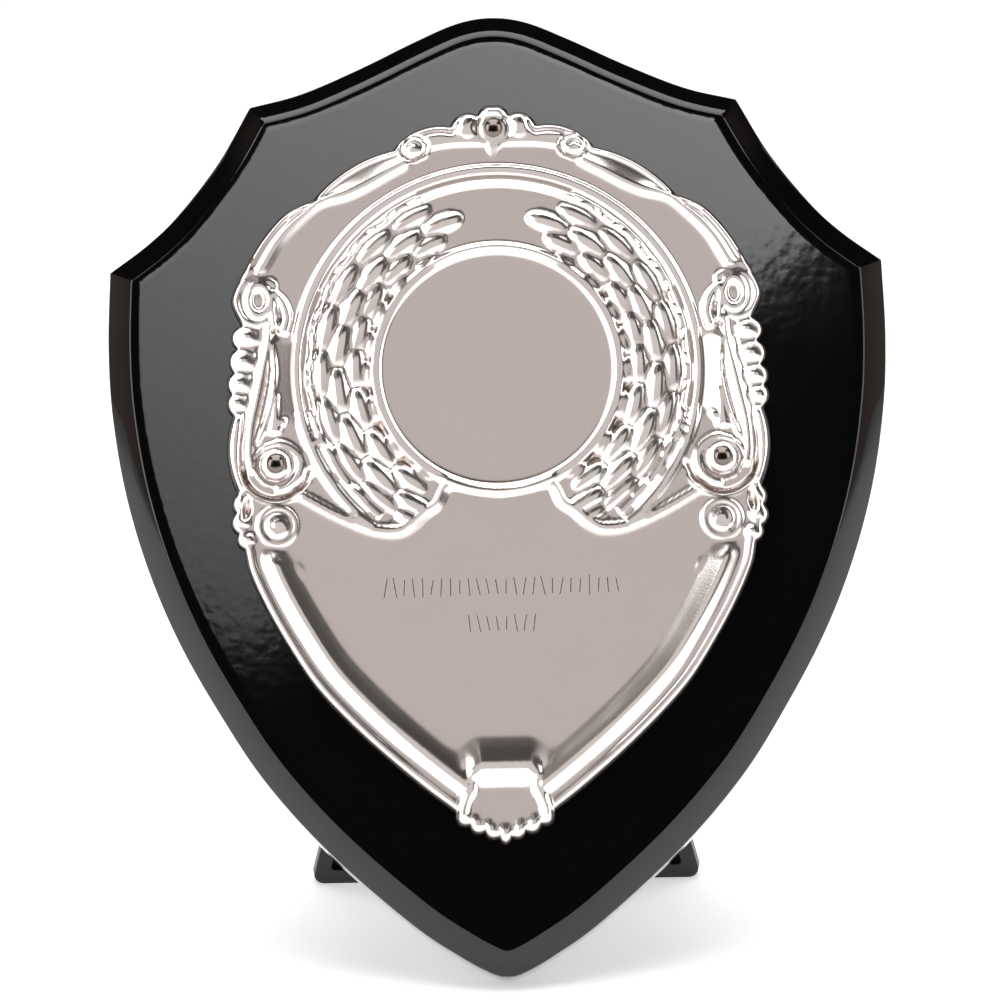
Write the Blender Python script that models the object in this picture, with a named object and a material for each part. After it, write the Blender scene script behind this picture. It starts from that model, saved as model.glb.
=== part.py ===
"""Award shield plaque: a lacquered board, a pressed relief front, its pins and a hinged strut.

The plaque stands tipped back on the board's lower point and the strut's foot.  Shapes are worked out
in millimetres in the board's own plane, x to the right, u up the face from the point and w out of the
front face, and are then laid into the standing pose in metres.
"""
import math

import bmesh
import bpy
import numpy as np
from mathutils import Matrix, Vector

MM = 0.001

# Stance
LEAN_DEG = 20.0
STANCE_SHIFT_Y = -50.15

# Board
BOARD_THICK = 15.0
CHAMFER_WIDE = 4.7
CHAMFER_DEEP = 5.2
FACE_MIDDLE_U = 112.0
BACK_MIDDLE_U = 158.0
CROWN = [(0.0, 200.0), (7.2, 198.9), (16.0, 195.2), (27.9, 189.5), (39.9, 184.5), (50.6, 181.8)]
FLANK = [(50.6, 181.8), (57.2, 170.3), (65.4, 159.7), (71.9, 153.4), (80.0, 147.4)]
CHEEK = [(80.0, 147.4), (80.5, 131.9), (79.8, 117.5), (77.2, 101.1), (72.8, 85.4), (66.7, 70.4),
         (58.7, 55.7), (49.0, 40.7), (35.9, 25.8), (19.6, 11.2), (9.7, 4.3), (3.2, 0.7), (0.0, 0.0)]

# Pressed front: its outline down the right half
PLATE_GAP = 0.3
PLATE_TOP = (0.0, 180.1)
TOP_LOBES = [((3.2, 178.2), 0.22), ((8.9, 175.9), 0.24), ((20.8, 171.1), 0.15), ((37.5, 160.9), 0.085)]
SHOULDER = [(37.5, 160.9), (43.1, 158.3), (47.9, 153.1), (51.8, 146.7), (54.2, 141.9), (54.6, 139.0),
            (52.7, 134.7)]
SIDE_LOBES = [((53.6, 130.0), 0.34), ((54.4, 125.0), 0.27), ((55.0, 120.6), 0.25), ((54.6, 116.1), 0.25),
              ((53.9, 99.8), 0.105), ((54.4, 95.7), 0.22), ((53.9, 91.4), 0.27), ((52.7, 88.2), 0.26)]
LOWER_SWEEP = [(52.7, 88.2), (51.7, 83.3), (48.6, 76.2), (44.2, 68.2), (38.7, 59.7), (31.9, 52.1),
               (23.9, 44.5), (16.0, 37.8), (9.9, 33.1)]
SHELL_LOBES = [((7.4, 30.5), 0.38), ((4.3, 29.1), 0.3), ((1.3, 28.0), 0.28)]
SHELL_TIP = (0.0, 26.6)

# Pressed front: its relief
DISC_U = 124.8
FIELD = 1.7
RING_IN = 24.3
RING_OUT = 27.0
BED_OUT = 38.2
HOOP_END_DEG = 132.0
LEAF_ROWS = [
    (36.1, 0.0, 4.5, 1.7, 18.0, [37.5, 53.3, 69.0, 84.3, 99.7, 115.4, 131.2, 146.0]),
    (32.4, 0.8, 5.3, 1.95, 19.6, [29.5, 46.0, 62.0, 76.2, 90.2, 106.5, 124.0, 142.0]),
    (29.4, 0.0, 4.8, 1.75, 19.4, [37.5, 54.0, 70.5, 84.2, 98.0, 115.0, 133.0, 151.5])]
LIP = [(0.0, 100.4), (8.0, 101.4), (11.2, 100.7), (13.0, 97.0), (15.6, 95.3), (18.9, 92.5), (21.9, 91.6),
       (26.9, 92.3), (33.9, 95.3), (40.9, 99.2)]
SIDE_PIN = (45.9, 105.6)
TOP_PIN = (0.0, 175.0)
LOW_SCROLL = (45.7, 92.9)
STEM = [(47.0, 142.6), (46.9, 137.0), (47.1, 131.5), (48.3, 125.5), (49.6, 119.5), (50.9, 113.5),
        (51.3, 108.0), (50.8, 105.0)]
VALLEY = [(48.9, 131.5), (50.0, 127.0), (51.1, 121.5), (52.1, 116.0), (52.8, 110.5), (52.9, 106.0),
          (52.1, 101.5)]
BLADE = [(46.3, 130.6), (45.9, 126.0), (46.1, 122.0), (46.9, 117.8), (48.2, 113.5), (49.4, 110.4)]
PETAL = [(45.9, 141.8), (44.3, 139.6), (43.3, 136.4), (43.9, 133.6)]
CURL = (49.0, 139.6)
RIBBON = [(17.2, 169.2), (22.0, 166.7), (27.0, 163.9), (31.0, 162.2), (36.0, 160.9), (40.2, 157.6),
          (45.0, 152.6), (48.6, 146.6)]
RIBBON_EYE = (16.5, 171.3)
BEADS = [(51.5, 132.4, 2.5), (52.4, 127.4, 2.6), (53.1, 122.8, 2.5), (53.7, 118.6, 2.3), (52.9, 97.8, 2.2),
         (53.0, 93.8, 2.1), (51.8, 90.2, 2.0)]

# Pins
PIN_HEAD_R = 1.95
PIN_HEAD_HIGH = 1.25
PIN_SHANK_R = 0.6
PIN_LONG = 9.0
PIN_HOLE_R = 0.8

# Strut
HINGE_U = 119.4
HINGE_BACK = 4.6
LEG_OPEN_DEG = 38.4
LEG_FOOT_HALF = 42.3
LEG_TOP_HALF = 16.4
LEG_THICK = 5.0
LEG_WEB = 2.0
LEG_RIM = 3.3
BARREL_R = 3.2
BARREL_HALF = 9.0
HINGE_PIN_R = 1.2
BRACKET_HALF = 16.0
BRACKET_THICK = 2.4
BRACKET_TOP = 34.0
BRACKET_LOW = 5.0
SCREW_R = 3.4
SCREW_HIGH = 1.7
SCREW_SHANK_R = 1.3
SCREW_HOLE_R = 1.6
SCREW_DEEP = 8.0
SCREW_X = 8.5
SCREW_U = 20.0


def lay(points):
    """Turn board points (x, u, w) in millimetres into the standing pose in metres."""
    lean = math.radians(LEAN_DEG)
    p = np.asarray(points, dtype=float).reshape(-1, 3)
    y = p[:, 1] * math.sin(lean) - p[:, 2] * math.cos(lean)
    z = p[:, 1] * math.cos(lean) + p[:, 2] * math.sin(lean)
    lift = BOARD_THICK * math.sin(lean)
    return np.stack([p[:, 0], y + STANCE_SHIFT_Y, z + lift], axis=1) * MM


def spline(knots, count):
    """A smooth curve through the knots, about count points, both ends included."""
    k = np.asarray(knots, dtype=float)
    k = np.vstack([2 * k[0] - k[1], k, 2 * k[-1] - k[-2]])
    spans = len(k) - 3
    each = max(2, int(round(count / spans)))
    t = np.linspace(0.0, 1.0, each, endpoint=False)[:, None]
    rows = []
    for i in range(spans):
        a, b, c, d = k[i:i + 4]
        rows.append(0.5 * (2 * b + (c - a) * t + (2 * a - 5 * b + 4 * c - d) * t ** 2
                           + (3 * b - a - 3 * c + d) * t ** 3))
    rows.append(k[-2][None])
    return np.vstack(rows)


def lobe(a, b, bulge, count):
    """An arc from a up to b, its rise a share of its chord, to the left of the way it runs."""
    a = np.asarray(a, dtype=float)
    b = np.asarray(b, dtype=float)
    chord = b - a
    long = float(np.hypot(*chord))
    rise = bulge * long
    radius = (long * long / 4 + rise * rise) / (2 * rise)
    left = np.array([-chord[1], chord[0]]) / long
    centre = (a + b) / 2 + left * (rise - radius)
    start = math.atan2(a[1] - centre[1], a[0] - centre[0])
    sweep = 4 * math.atan2(2 * rise, long)
    angle = start - sweep * np.linspace(0.0, 1.0, count, endpoint=False)
    return centre + radius * np.stack([np.cos(angle), np.sin(angle)], axis=1)


def plate_half(arc, run):
    """The right half of the plate's outline, from its top down to the shell's tip."""
    rows = []
    a = PLATE_TOP
    for b, bulge in TOP_LOBES:
        rows.append(lobe(a, b, bulge, arc))
        a = b
    rows.append(spline(SHOULDER, run)[:-1])
    a = SHOULDER[-1]
    for b, bulge in SIDE_LOBES:
        rows.append(lobe(a, b, bulge, arc))
        a = b
    rows.append(spline(LOWER_SWEEP, 2 * run)[:-1])
    a = LOWER_SWEEP[-1]
    for b, bulge in SHELL_LOBES:
        rows.append(lobe(a, b, bulge, arc))
        a = b
    rows.append(lobe(a, SHELL_TIP, 0.2, arc))
    rows.append(np.array([SHELL_TIP]))
    return np.vstack(rows)


def near(x, u, path):
    """Distance from each point to a path, and how far along the path it is, 0 to 1."""
    p = np.stack([x.ravel(), u.ravel()], axis=1)
    path = np.asarray(path, dtype=float)
    a = path[:-1]
    ab = path[1:] - a
    square = np.maximum((ab ** 2).sum(axis=1), 1e-12)
    far = np.empty(len(p))
    along = np.empty(len(p))
    block = 20000
    for i in range(0, len(p), block):
        q = p[i:i + block, None, :] - a[None]
        t = np.clip((q * ab).sum(axis=2) / square, 0.0, 1.0)
        e = q - t[..., None] * ab
        gap = (e ** 2).sum(axis=2)
        j = gap.argmin(axis=1)
        row = np.arange(len(j))
        far[i:i + block] = np.sqrt(gap[row, j])
        along[i:i + block] = (j + t[row, j]) / len(a)
    return far.reshape(x.shape), along.reshape(x.shape)


def ease(value, low, high):
    """0 below low, 1 above high, and smooth between them."""
    t = np.clip((value - low) / (high - low), 0.0, 1.0)
    return t * t * (3 - 2 * t)


def roll(distance, half):
    """A round-topped swelling, 1 on its line and 0 at its half width."""
    return np.sqrt(np.clip(1 - (distance / half) ** 2, 0.0, 1.0))


def leaves(r, turn):
    """Heights of the wreath's leaves above their bed, a rounded mound for each leaf.

    Along a leaf t runs from -1 at its tip to 1 at its base, and across it from -1 to 1.
    """
    top = np.zeros_like(r)
    for radius, drift, wide, rise, span, bases in LEAF_ROWS:
        across = (r - radius - drift * ease(turn, 55.0, 100.0)) / (wide / 2)
        for base in bases:
            t = (turn - base + span / 2) / (span / 2)
            body = np.clip(1 - np.abs(t) ** 2.4 - across ** 2, 0.0, 1.0)
            top = np.maximum(top, rise * (0.9 - 0.1 * t) * body ** 0.55)
    return top


def crown(x, u, high, edge):
    """The ribbon from crest to shoulder, its eye, and the crest with its lobes and tail."""
    line = spline(RIBBON, 40)
    rib, _ = near(x, u, line)
    span = (x > 16.0) & (u > 141.5)
    above = span & (u > np.interp(x, line[:, 0], line[:, 1]))
    t = np.clip((edge - 1.5) / np.maximum(edge - 1.5 + rib, 0.05), 0.0, 1.0)
    bead = np.interp(edge, [0.0, 0.4, 0.8, 1.5], [0.7, 1.7, 2.2, 1.5])
    fall = np.where(edge > 1.5, 1.5 + 1.1 * t ** 1.2, bead)
    fade = ease(u, 141.5, 146.0) * ease(x, 16.0, 18.5)
    high = np.where(above, high * (1 - fade) + fall * fade, high)
    swell = FIELD + 0.9 * (1 - ease(rib, 0.0, 2.8)) * fade
    high = np.where(span & ~above, np.maximum(high, swell), high)

    under = FIELD + 0.95 * ease(u - 170.6 + 0.09 * np.clip(x - 8.0, 0.0, 9.0) ** 1.2, 0.0, 2.6)
    high = np.where((x < 16.5) & (u > 170.5) & (edge > 0.6), under, high)
    eye = np.hypot((x - RIBBON_EYE[0]) / 1.1, u - RIBBON_EYE[1])
    high = np.where(eye < 2.25, 1.35 + 1.5 * roll(eye, 2.25), high)
    lobes = np.minimum(np.hypot(x - 5.3, u - 175.4) / 3.0, np.hypot(x, u - 178.3) / 2.6)
    high = np.where(lobes < 1.0, np.maximum(high, 1.7 + 1.35 * roll(lobes, 1.0)), high)
    pad = np.hypot(x - TOP_PIN[0], u - TOP_PIN[1])
    tail = ease(u, 168.0, 172.5)
    high = np.where((x < 0.4 + 1.6 * tail) & (u < 173.0) & (u > 168.0), FIELD + 0.9 * tail, high)
    return np.where(pad < 3.0, 2.6, high)


def side(x, u, high, edge, r):
    """The scalloped border, stem, blade, dished pocket and curl at the side."""
    stem, _ = near(x, u, spline(STEM, 32))
    blade, _ = near(x, u, spline(BLADE, 16))
    line = spline(VALLEY, 24)
    valley = x - np.interp(-u, -line[:, 1], line[:, 0])
    border = (valley > 0) & (u > 100.5) & (u < 134.6)
    s = (edge - valley) / np.maximum(edge + valley, 0.2)
    bare = 1 - ease(u, 114.5, 117.0)
    high = np.where(border, 1.45 + (0.25 + 1.1 * bare) * roll(s, 1.02), high)
    left = np.interp(u, [110.4, 113.5, 117.8, 122.0, 126.0, 130.6], [49.4, 48.2, 46.9, 46.1, 45.9, 46.3])
    shade = ease(u, 113.0, 116.5) * (1 - ease(u, 130.5, 133.0))
    ramp = 1.15 + 1.15 * np.clip((r - 42.5) / 3.8, 0.0, 1.0)
    pocket = (r > 42.4) & (x < left) & (edge > 2.0)
    high = np.where(pocket, high * (1 - shade) + ramp * shade, high)
    high = np.maximum(high, (1.5 + 1.1 * roll(blade, 0.9)) * (blade < 0.9))
    thick = 0.95 + 0.6 * ease(134.0 - u, 0.0, 12.0)
    high = np.maximum(high, (1.45 + 1.5 * roll(stem, thick)) * (stem < thick))
    for bead_x, bead_u, size in BEADS:
        bead = np.hypot((x - bead_x) / 1.2, u - bead_u)
        high = np.maximum(high, (1.45 + 1.5 * roll(bead, size)) * (bead < size))
    far = np.hypot(x - CURL[0], u - CURL[1])
    loop = np.hypot((x - CURL[0]) / 2.0, (u - CURL[1] - 0.3) / 2.95)
    curl = (far < 5.9) & (u > 134.4 - 0.5 * (x - 49.0)) & (x > 46.0)
    curled = np.maximum(1.3 + 1.45 * roll(far - 4.75, 1.4), 1.3 + 1.45 * roll(loop - 1.08, 0.5))
    high = np.where(curl, curled, high)
    petal, _ = near(x, u, spline(PETAL, 14))
    return np.maximum(high, (1.3 + 1.45 * roll(petal, 1.3)) * (petal < 1.3))


def scroll(x, u, high):
    """The broad scroll round each side pin's seat, and the ball scroll below it."""
    du = u - SIDE_PIN[1]
    r = np.hypot(x - SIDE_PIN[0], du)
    groove = 3.5
    outer = 6.5 - 0.9 * ease(du, 1.0, 5.0)
    band = 1.35 + 1.5 * roll(r - (groove + outer) / 2, (outer - groove) / 2 + 0.25)
    lead = ~((x > SIDE_PIN[0]) & (np.abs(du) < 6.0) & (r > 4.6))
    high = np.where((r < outer + 0.2) & (r > groove) & lead, band, high)
    high = np.where(r <= groove, np.where(r < 2.9, 2.9, 1.35), high)
    r = np.hypot(x - LOW_SCROLL[0], u - LOW_SCROLL[1])
    band = 1.25 + 1.6 * roll(r - 3.75, 1.0)
    ball = (1.25 + 1.55 * roll(r, 2.9)) * (r < 2.9)
    return np.where(r < 4.6, np.maximum(band, ball), high)


def shell(x, u, high, edge):
    """The band with two knobs over a plain shell whose edge is fluted."""
    inside = (1 - ease(u, 38.6, 39.4)) * (1 - ease(x + 0.55 * (u - 36.0), 8.2, 8.9))
    spread = np.degrees(np.arctan2(x, 44.0 - u))
    flute = np.abs(np.cos(np.radians(spread * 180.0 / 12.0)))
    fan = np.interp(edge, [0.0, 0.5, 1.0, 1.8, 2.6, 3.6], [0.7, 1.7, 2.4, 2.5, 1.95, 1.75])
    fan = fan - (0.4 - 0.4 * flute) * (1 - ease(edge, 2.2, 3.8)) * ease(edge, 0.0, 0.5)
    high = high * (1 - inside) + fan * inside
    away = np.hypot(np.clip(x - 4.5, 0.0, None), u - 42.6)
    bank = 3.15 - (3.15 - FIELD) * np.clip(away / 7.8, 0.0, 1.0)
    high = np.where(u >= 42.6, np.maximum(high, bank), high)
    band = np.interp(u, [38.3, 38.6, 42.3, 42.8], [FIELD, 2.0, 3.15, 3.2])
    return np.where((x < 6.2) & (u > 38.3) & (u < 42.8), band, high)


def relief(x, u, outline):
    """Height of the pressed face above the plate's back at points of the board's plane."""
    x = np.abs(x)
    edge, _ = near(x, u, outline)
    r = np.hypot(x, u - DISC_U)
    turn = np.degrees(np.arctan2(x, u - DISC_U))

    rim = np.interp(edge, [0.0, 0.5, 1.0, 1.7, 2.4, 3.0, 4.2, 5.6, 6.5, 10.2, 11.2],
                    [0.7, 1.9, 2.4, 2.25, 1.75, 1.8, 2.5, 3.2, 2.85, 1.75, FIELD])
    plain = np.interp(edge, [0.0, 0.5, 1.0, 1.7, 2.6], [0.7, 1.8, 2.25, 2.15, FIELD])
    low = (1 - ease(u, 84.5, 89.0)) * ease(r, 37.0, 44.0)
    high = plain * (1 - low) + rim * low

    lip, _ = near(x, u, spline(LIP, 40))
    high = np.maximum(high, (FIELD + 1.35 * roll(lip, 1.4)) * (lip < 1.4) * (x < 42.0))

    bed_end = ease(turn, HOOP_END_DEG + 14.0, HOOP_END_DEG + 17.0)
    bed = ease(r, RING_OUT - 0.8, RING_OUT) * (1 - ease(r, BED_OUT, BED_OUT + 0.8)) * (1 - bed_end)
    sink = FIELD - 0.75 * ease(turn, 18.0, 34.0)
    wreath = sink + leaves(r, turn)
    high = high * (1 - bed) + wreath * bed
    hoop = np.interp(r, [38.0, 38.7, 39.8, 40.2, 40.5, 41.7, 42.4, 42.9],
                     [0.0, 0.75, 0.75, 0.1, 0.65, 0.92, 0.5, 0.0])
    upper = (turn < HOOP_END_DEG) & (edge > 0.8) & (hoop > 0)
    high = np.where(upper, np.maximum(high, FIELD + hoop), high)
    ring = FIELD + 1.35 * roll(r - 25.6, 1.5)
    high = np.where(np.abs(r - 25.6) < 1.5, np.maximum(high * (r > 25.6), ring), high)
    high = np.where(r < RING_IN, 2.0, high)

    high = side(x, u, high, edge, r)
    high = scroll(x, u, high)
    high = crown(x, u, high, edge)
    high = shell(x, u, high, edge)
    rounded = np.interp(edge, [0.0, 0.4, 0.8, 1.2], [0.7, 1.8, 2.4, 3.4])
    return np.minimum(high, rounded)


def whole(half):
    """A closed loop from the right half of an outline, from the top round to the right."""
    return np.vstack([half, half[-2:0:-1] * np.array([-1.0, 1.0])])


def finish(name, colour, roughness, metallic):
    """A plain finish for one piece."""
    material = bpy.data.materials.new(name)
    material.use_nodes = True
    shader = material.node_tree.nodes["Principled BSDF"]
    shader.inputs["Base Color"].default_value = (*colour, 1.0)
    shader.inputs["Roughness"].default_value = roughness
    shader.inputs["Metallic"].default_value = metallic
    material.diffuse_color = (*colour, 1.0)
    return material


def solid(name, points, faces, material):
    """A closed piece from board points and faces, laid into the standing pose."""
    mesh = bpy.data.meshes.new(name)
    mesh.from_pydata([tuple(p) for p in lay(points)], [], [tuple(f) for f in faces])
    mesh.materials.append(material)
    piece = bpy.data.objects.new(name, mesh)
    bpy.context.scene.collection.objects.link(piece)
    work = bmesh.new()
    work.from_mesh(mesh)
    bmesh.ops.recalc_face_normals(work, faces=work.faces)
    bmesh.ops.triangulate(work, faces=work.faces)
    work.to_mesh(mesh)
    work.free()
    return piece


def stack(loops):
    """Points and faces of a closed stack of equal loops; a one-point loop at an end closes as a fan."""
    points = np.vstack(loops)
    starts = np.concatenate([[0], np.cumsum([len(loop) for loop in loops])])
    faces = []
    for i in range(len(loops) - 1):
        a = int(starts[i])
        b = int(starts[i + 1])
        long = max(len(loops[i]), len(loops[i + 1]))
        for j in range(long):
            k = (j + 1) % long
            if len(loops[i]) == 1:
                faces.append((a, b + k, b + j))
            elif len(loops[i + 1]) == 1:
                faces.append((a + j, a + k, b))
            else:
                faces.append((a + j, a + k, b + k, b + j))
    return points, faces


def at(flat, w):
    """Board-plane points lifted to one height."""
    flat = np.asarray(flat, dtype=float).reshape(-1, 2)
    return np.column_stack([flat, np.full(len(flat), w)])


def round_loop(centre, radius, count):
    """A level ring of points about a centre in the board's plane."""
    a = np.linspace(0.0, 2 * math.pi, count, endpoint=False)
    return np.stack([centre[0] + radius * np.cos(a), centre[1] + radius * np.sin(a)], axis=1)


def turned(name, centre, profile, count, material):
    """A round piece on an axis square to the board, from (radius, w) stations, both ends closed."""
    loops = [at([centre], profile[0][1])]
    loops += [at(round_loop(centre, radius, count), w) for radius, w in profile]
    loops.append(at([centre], profile[-1][1]))
    return solid(name, *stack(loops), material)


def combine(piece, tool, operation):
    """Join a tool solid to a piece, or take it away, and drop the tool."""
    tool.hide_render = True
    tool.display_type = "WIRE"
    change = piece.modifiers.new(tool.name, "BOOLEAN")
    change.operation = operation
    change.solver = "EXACT"
    change.object = tool
    bpy.context.view_layer.update()
    view = bpy.context.evaluated_depsgraph_get()
    result = bpy.data.meshes.new_from_object(piece.evaluated_get(view))
    piece.modifiers.clear()
    piece.data = result
    bpy.data.objects.remove(tool, do_unlink=True)


def cut(piece, name, centre, radius, low, high):
    """Bore a round hole square to the board through a piece, from w low to w high."""
    loops = [at([centre], low), at(round_loop(centre, radius, 12), low),
             at(round_loop(centre, radius, 12), high), at([centre], high)]
    combine(piece, solid(name, *stack(loops), piece.data.materials[0]), "DIFFERENCE")


def inset_loops(segments, wide):
    """The board's edge, and the same edge moved inward by a width with mitred corners."""
    outer = []
    inner = []
    ends = []
    for seg in segments:
        way = np.gradient(seg, axis=0)
        way /= np.hypot(way[:, 0], way[:, 1])[:, None]
        ends.append((way[0], way[-1]))
    count = len(segments)
    for i, seg in enumerate(segments):
        before = ends[(i - 1) % count][1]
        after = ends[(i + 1) % count][0]
        first, last = ends[i]
        turn_a = math.tan(0.5 * math.acos(float(np.clip(np.dot(before, first), -1.0, 1.0))))
        turn_b = math.tan(0.5 * math.acos(float(np.clip(np.dot(last, after), -1.0, 1.0))))
        step = np.hypot(*np.diff(seg, axis=0).T)
        run = np.concatenate([[0.0], np.cumsum(step)])
        even = np.linspace(0.0, run[-1], len(seg))
        spot = np.linspace(wide * turn_a, run[-1] - wide * turn_b, len(seg))
        base = np.stack([np.interp(spot, run, seg[:, 0]), np.interp(spot, run, seg[:, 1])], axis=1)
        way = np.stack([np.interp(spot, run, np.gradient(seg[:, 0], run)),
                        np.interp(spot, run, np.gradient(seg[:, 1], run))], axis=1)
        way /= np.hypot(way[:, 0], way[:, 1])[:, None]
        moved = base + wide * np.stack([way[:, 1], -way[:, 0]], axis=1)
        side_a = np.array([before[1] + first[1], -before[0] - first[0]]) / (1 + np.dot(before, first))
        moved[0] = seg[0] + wide * side_a
        flat = np.stack([np.interp(even, run, seg[:, 0]), np.interp(even, run, seg[:, 1])], axis=1)
        outer.append(flat[:-1])
        inner.append(moved[:-1])
    return np.vstack(outer), np.vstack(inner)


def board_segments(counts):
    """The board's edge as smooth stretches between its corners, from the crown round to the right."""
    flip = np.array([-1.0, 1.0])
    crown = np.array(CROWN)
    cheek = np.array(CHEEK)
    crown = spline(np.vstack([crown[:0:-1] * flip, crown]), 400)
    cheeks = spline(np.vstack([cheek, cheek[-2::-1] * flip]), 800)
    flank = spline(FLANK, 200)
    rows = []
    for seg, count in zip([crown, flank, cheeks, flank[::-1] * flip], counts):
        step = np.hypot(*np.diff(seg, axis=0).T)
        run = np.concatenate([[0.0], np.cumsum(step)])
        even = np.linspace(0.0, run[-1], count)
        rows.append(np.stack([np.interp(even, run, seg[:, 0]), np.interp(even, run, seg[:, 1])], axis=1))
    return rows


def make_board(material):
    """The shield-shaped board with its broad front chamfer and the blind holes of pins and screws."""
    outer, inner = inset_loops(board_segments((31, 9, 67, 9)), CHAMFER_WIDE)
    loops = [at([(0.0, FACE_MIDDLE_U)], 0.0), at(inner, 0.0), at(outer, -CHAMFER_DEEP),
             at(outer, -BOARD_THICK), at([(0.0, BACK_MIDDLE_U)], -BOARD_THICK)]
    board = solid("board", *stack(loops), material)
    for i, spot in enumerate(pin_spots()):
        cut(board, f"pin_hole_{i}", spot, PIN_HOLE_R, -PIN_LONG - 1.0, 5.0)
    for i, spot in enumerate(screw_spots()):
        cut(board, f"screw_hole_{i}", spot, SCREW_HOLE_R, -BOARD_THICK - 5.0, -BOARD_THICK + SCREW_DEEP + 1.0)
    return board


def pin_spots():
    """The three pins' places: the two volutes' eyes and the crest."""
    return [SIDE_PIN, (-SIDE_PIN[0], SIDE_PIN[1]), TOP_PIN]


def stations(edge, outline, rows):
    """Plan of the plate's face: rings round the disc that end exactly on the outline."""
    centre = np.array([0.0, DISC_U])
    reach = np.hypot(*(edge - centre).T)
    way = (edge - centre) / reach[:, None]
    inner = [RING_IN - 0.3, 25.0, 26.3, 27.3, 29.4, 32.6, 36.0, 38.2]
    last = inner[-1]
    depth = np.array([13.0, 10.4, 8.0, 6.4, 5.5, 3.8, 2.6, 1.1, 0.0])
    fine = np.linspace(0.0, 1.0, 120)
    field = centre + way[:, None, :] * (last + (reach[:, None] - last) * fine)[..., None]
    gap, _ = near(np.abs(field[..., 0]), field[..., 1], outline)
    gap[:, -1] = 0.0
    gap = np.maximum.accumulate(gap[:, ::-1], axis=1)[:, ::-1] - 1e-6 * fine
    ladder = 0.025 * np.arange(1, rows + 1)
    radii = []
    for i in range(len(edge)):
        spot = np.interp(-depth, -gap[i], fine)
        share = np.concatenate([np.linspace(0.0, spot[0], rows - len(spot) + 2)[1:], spot[1:]])
        share = np.maximum(share, ladder)
        radii.append(last + (reach[i] - last) * share)
    radii = np.vstack([np.tile(np.array(inner)[:, None], len(edge)), np.array(radii).T])
    radii[-1] = reach
    return centre + way[None] * radii[..., None]


def make_plate(material):
    """The pressed front: one sheet of relief over a level back, with three pin holes."""
    outline = plate_half(4, 12)
    edge = whole(outline)
    plan = stations(edge, outline, 10)
    high = relief(plan[..., 0], plan[..., 1], outline)
    base = PLATE_GAP
    loops = [np.array([[0.0, DISC_U, base + 2.0]])]
    loops += [np.dstack([plan[i][None], (base + high[i])[None, :, None]])[0] for i in range(len(plan))]
    loops.append(at(edge, base))
    loops.append(np.array([[0.0, DISC_U, base]]))
    plate = solid("shield_front", *stack(loops), material)
    for i, spot in enumerate(pin_spots()):
        cut(plate, f"plate_hole_{i}", spot, PIN_HOLE_R, -1.0, 8.0)
    return plate


def make_pins(material):
    """Three dome-headed pins through the plate into the board."""
    for name, spot, seat in zip(("pin_right", "pin_left", "pin_top"), pin_spots(), (2.9, 2.9, 2.6)):
        low = PLATE_GAP + seat + 0.3
        dome = [(PIN_HEAD_R * math.cos(a), low + 0.25 + (PIN_HEAD_HIGH - 0.25) * math.sin(a))
                for a in np.radians([0.0, 30.0, 55.0, 75.0])]
        profile = [(0.15, -PIN_LONG), (PIN_SHANK_R, -PIN_LONG + 1.5), (PIN_SHANK_R, low), (PIN_HEAD_R, low)]
        turned(name, spot, profile + dome, 16, material)


def barrel_loop(radius, count, start_deg, sweep_deg):
    """Points (u, w) round the hinge's axis."""
    a = np.radians(start_deg + np.linspace(0.0, sweep_deg, count))
    return np.stack([HINGE_U + radius * np.cos(a), -BOARD_THICK - HINGE_BACK + radius * np.sin(a)], axis=1)


def prism(name, profile, x_low, x_high, material):
    """A solid with one convex (u, w) outline across a stretch of x."""
    profile = np.asarray(profile, dtype=float)
    middle = profile.mean(axis=0)
    loops = []
    for x in (x_low, x_high):
        ring = np.column_stack([np.full(len(profile), x), profile])
        cap = np.array([[x, middle[0], middle[1]]])
        loops += [cap, ring] if x == x_low else [ring, cap]
    return solid(name, *stack(loops), material)


def screw_spots():
    """The two bracket screws' places on the board's back."""
    return [(SCREW_X, HINGE_U + SCREW_U), (-SCREW_X, HINGE_U + SCREW_U)]


def make_bracket(material):
    """The moulded tab screwed to the back, with the hinge's two outer knuckles."""
    top = -BOARD_THICK - 0.3
    low = top - BRACKET_THICK
    half = BRACKET_HALF
    corner = 5.0
    arc = np.radians(np.linspace(0.0, 90.0, 5))
    right = [(half - corner + corner * math.cos(a), BRACKET_TOP - corner + corner * math.sin(a)) for a in arc]
    left = [(-x, u) for x, u in reversed(right)]
    edge = np.array([(half, BRACKET_LOW)] + right + left + [(-half, BRACKET_LOW)]) + np.array([0.0, HINGE_U])
    middle = [(0.0, HINGE_U + 18.0)]
    bracket = solid("strut_bracket", *stack([at(middle, low), at(edge, low), at(edge, top), at(middle, top)]),
                    material)
    curl = barrel_loop(BARREL_R, 12, 90.0, 200.0)
    root = np.array([(HINGE_U + 8.0, low + 0.25), (HINGE_U + 8.0, top - 0.25), (HINGE_U + 1.5, top - 0.25)])
    knuckle = np.vstack([curl, root])
    inner = BARREL_HALF + 0.4
    combine(bracket, prism("knuckle_right", knuckle, inner, half - 0.3, material), "UNION")
    combine(bracket, prism("knuckle_left", knuckle, 0.3 - half, -inner, material), "UNION")
    hole = barrel_loop(HINGE_PIN_R + 0.3, 17, 0.0, 360.0)[:-1]
    combine(bracket, prism("hinge_hole", hole, -half - 2.0, half + 2.0, material), "DIFFERENCE")
    for i, spot in enumerate(screw_spots()):
        cut(bracket, f"tab_hole_{i}", spot, SCREW_HOLE_R, low - 2.0, top + 0.2)
    return bracket


def leg_point(x, s, t):
    """A board point from the leg's own place: s down from the hinge and t out of its front face."""
    a = math.radians(LEG_OPEN_DEG)
    u = HINGE_U - s * math.cos(a) - t * math.sin(a)
    w = -BOARD_THICK - HINGE_BACK - s * math.sin(a) + t * math.cos(a)
    return x, u, w


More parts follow.
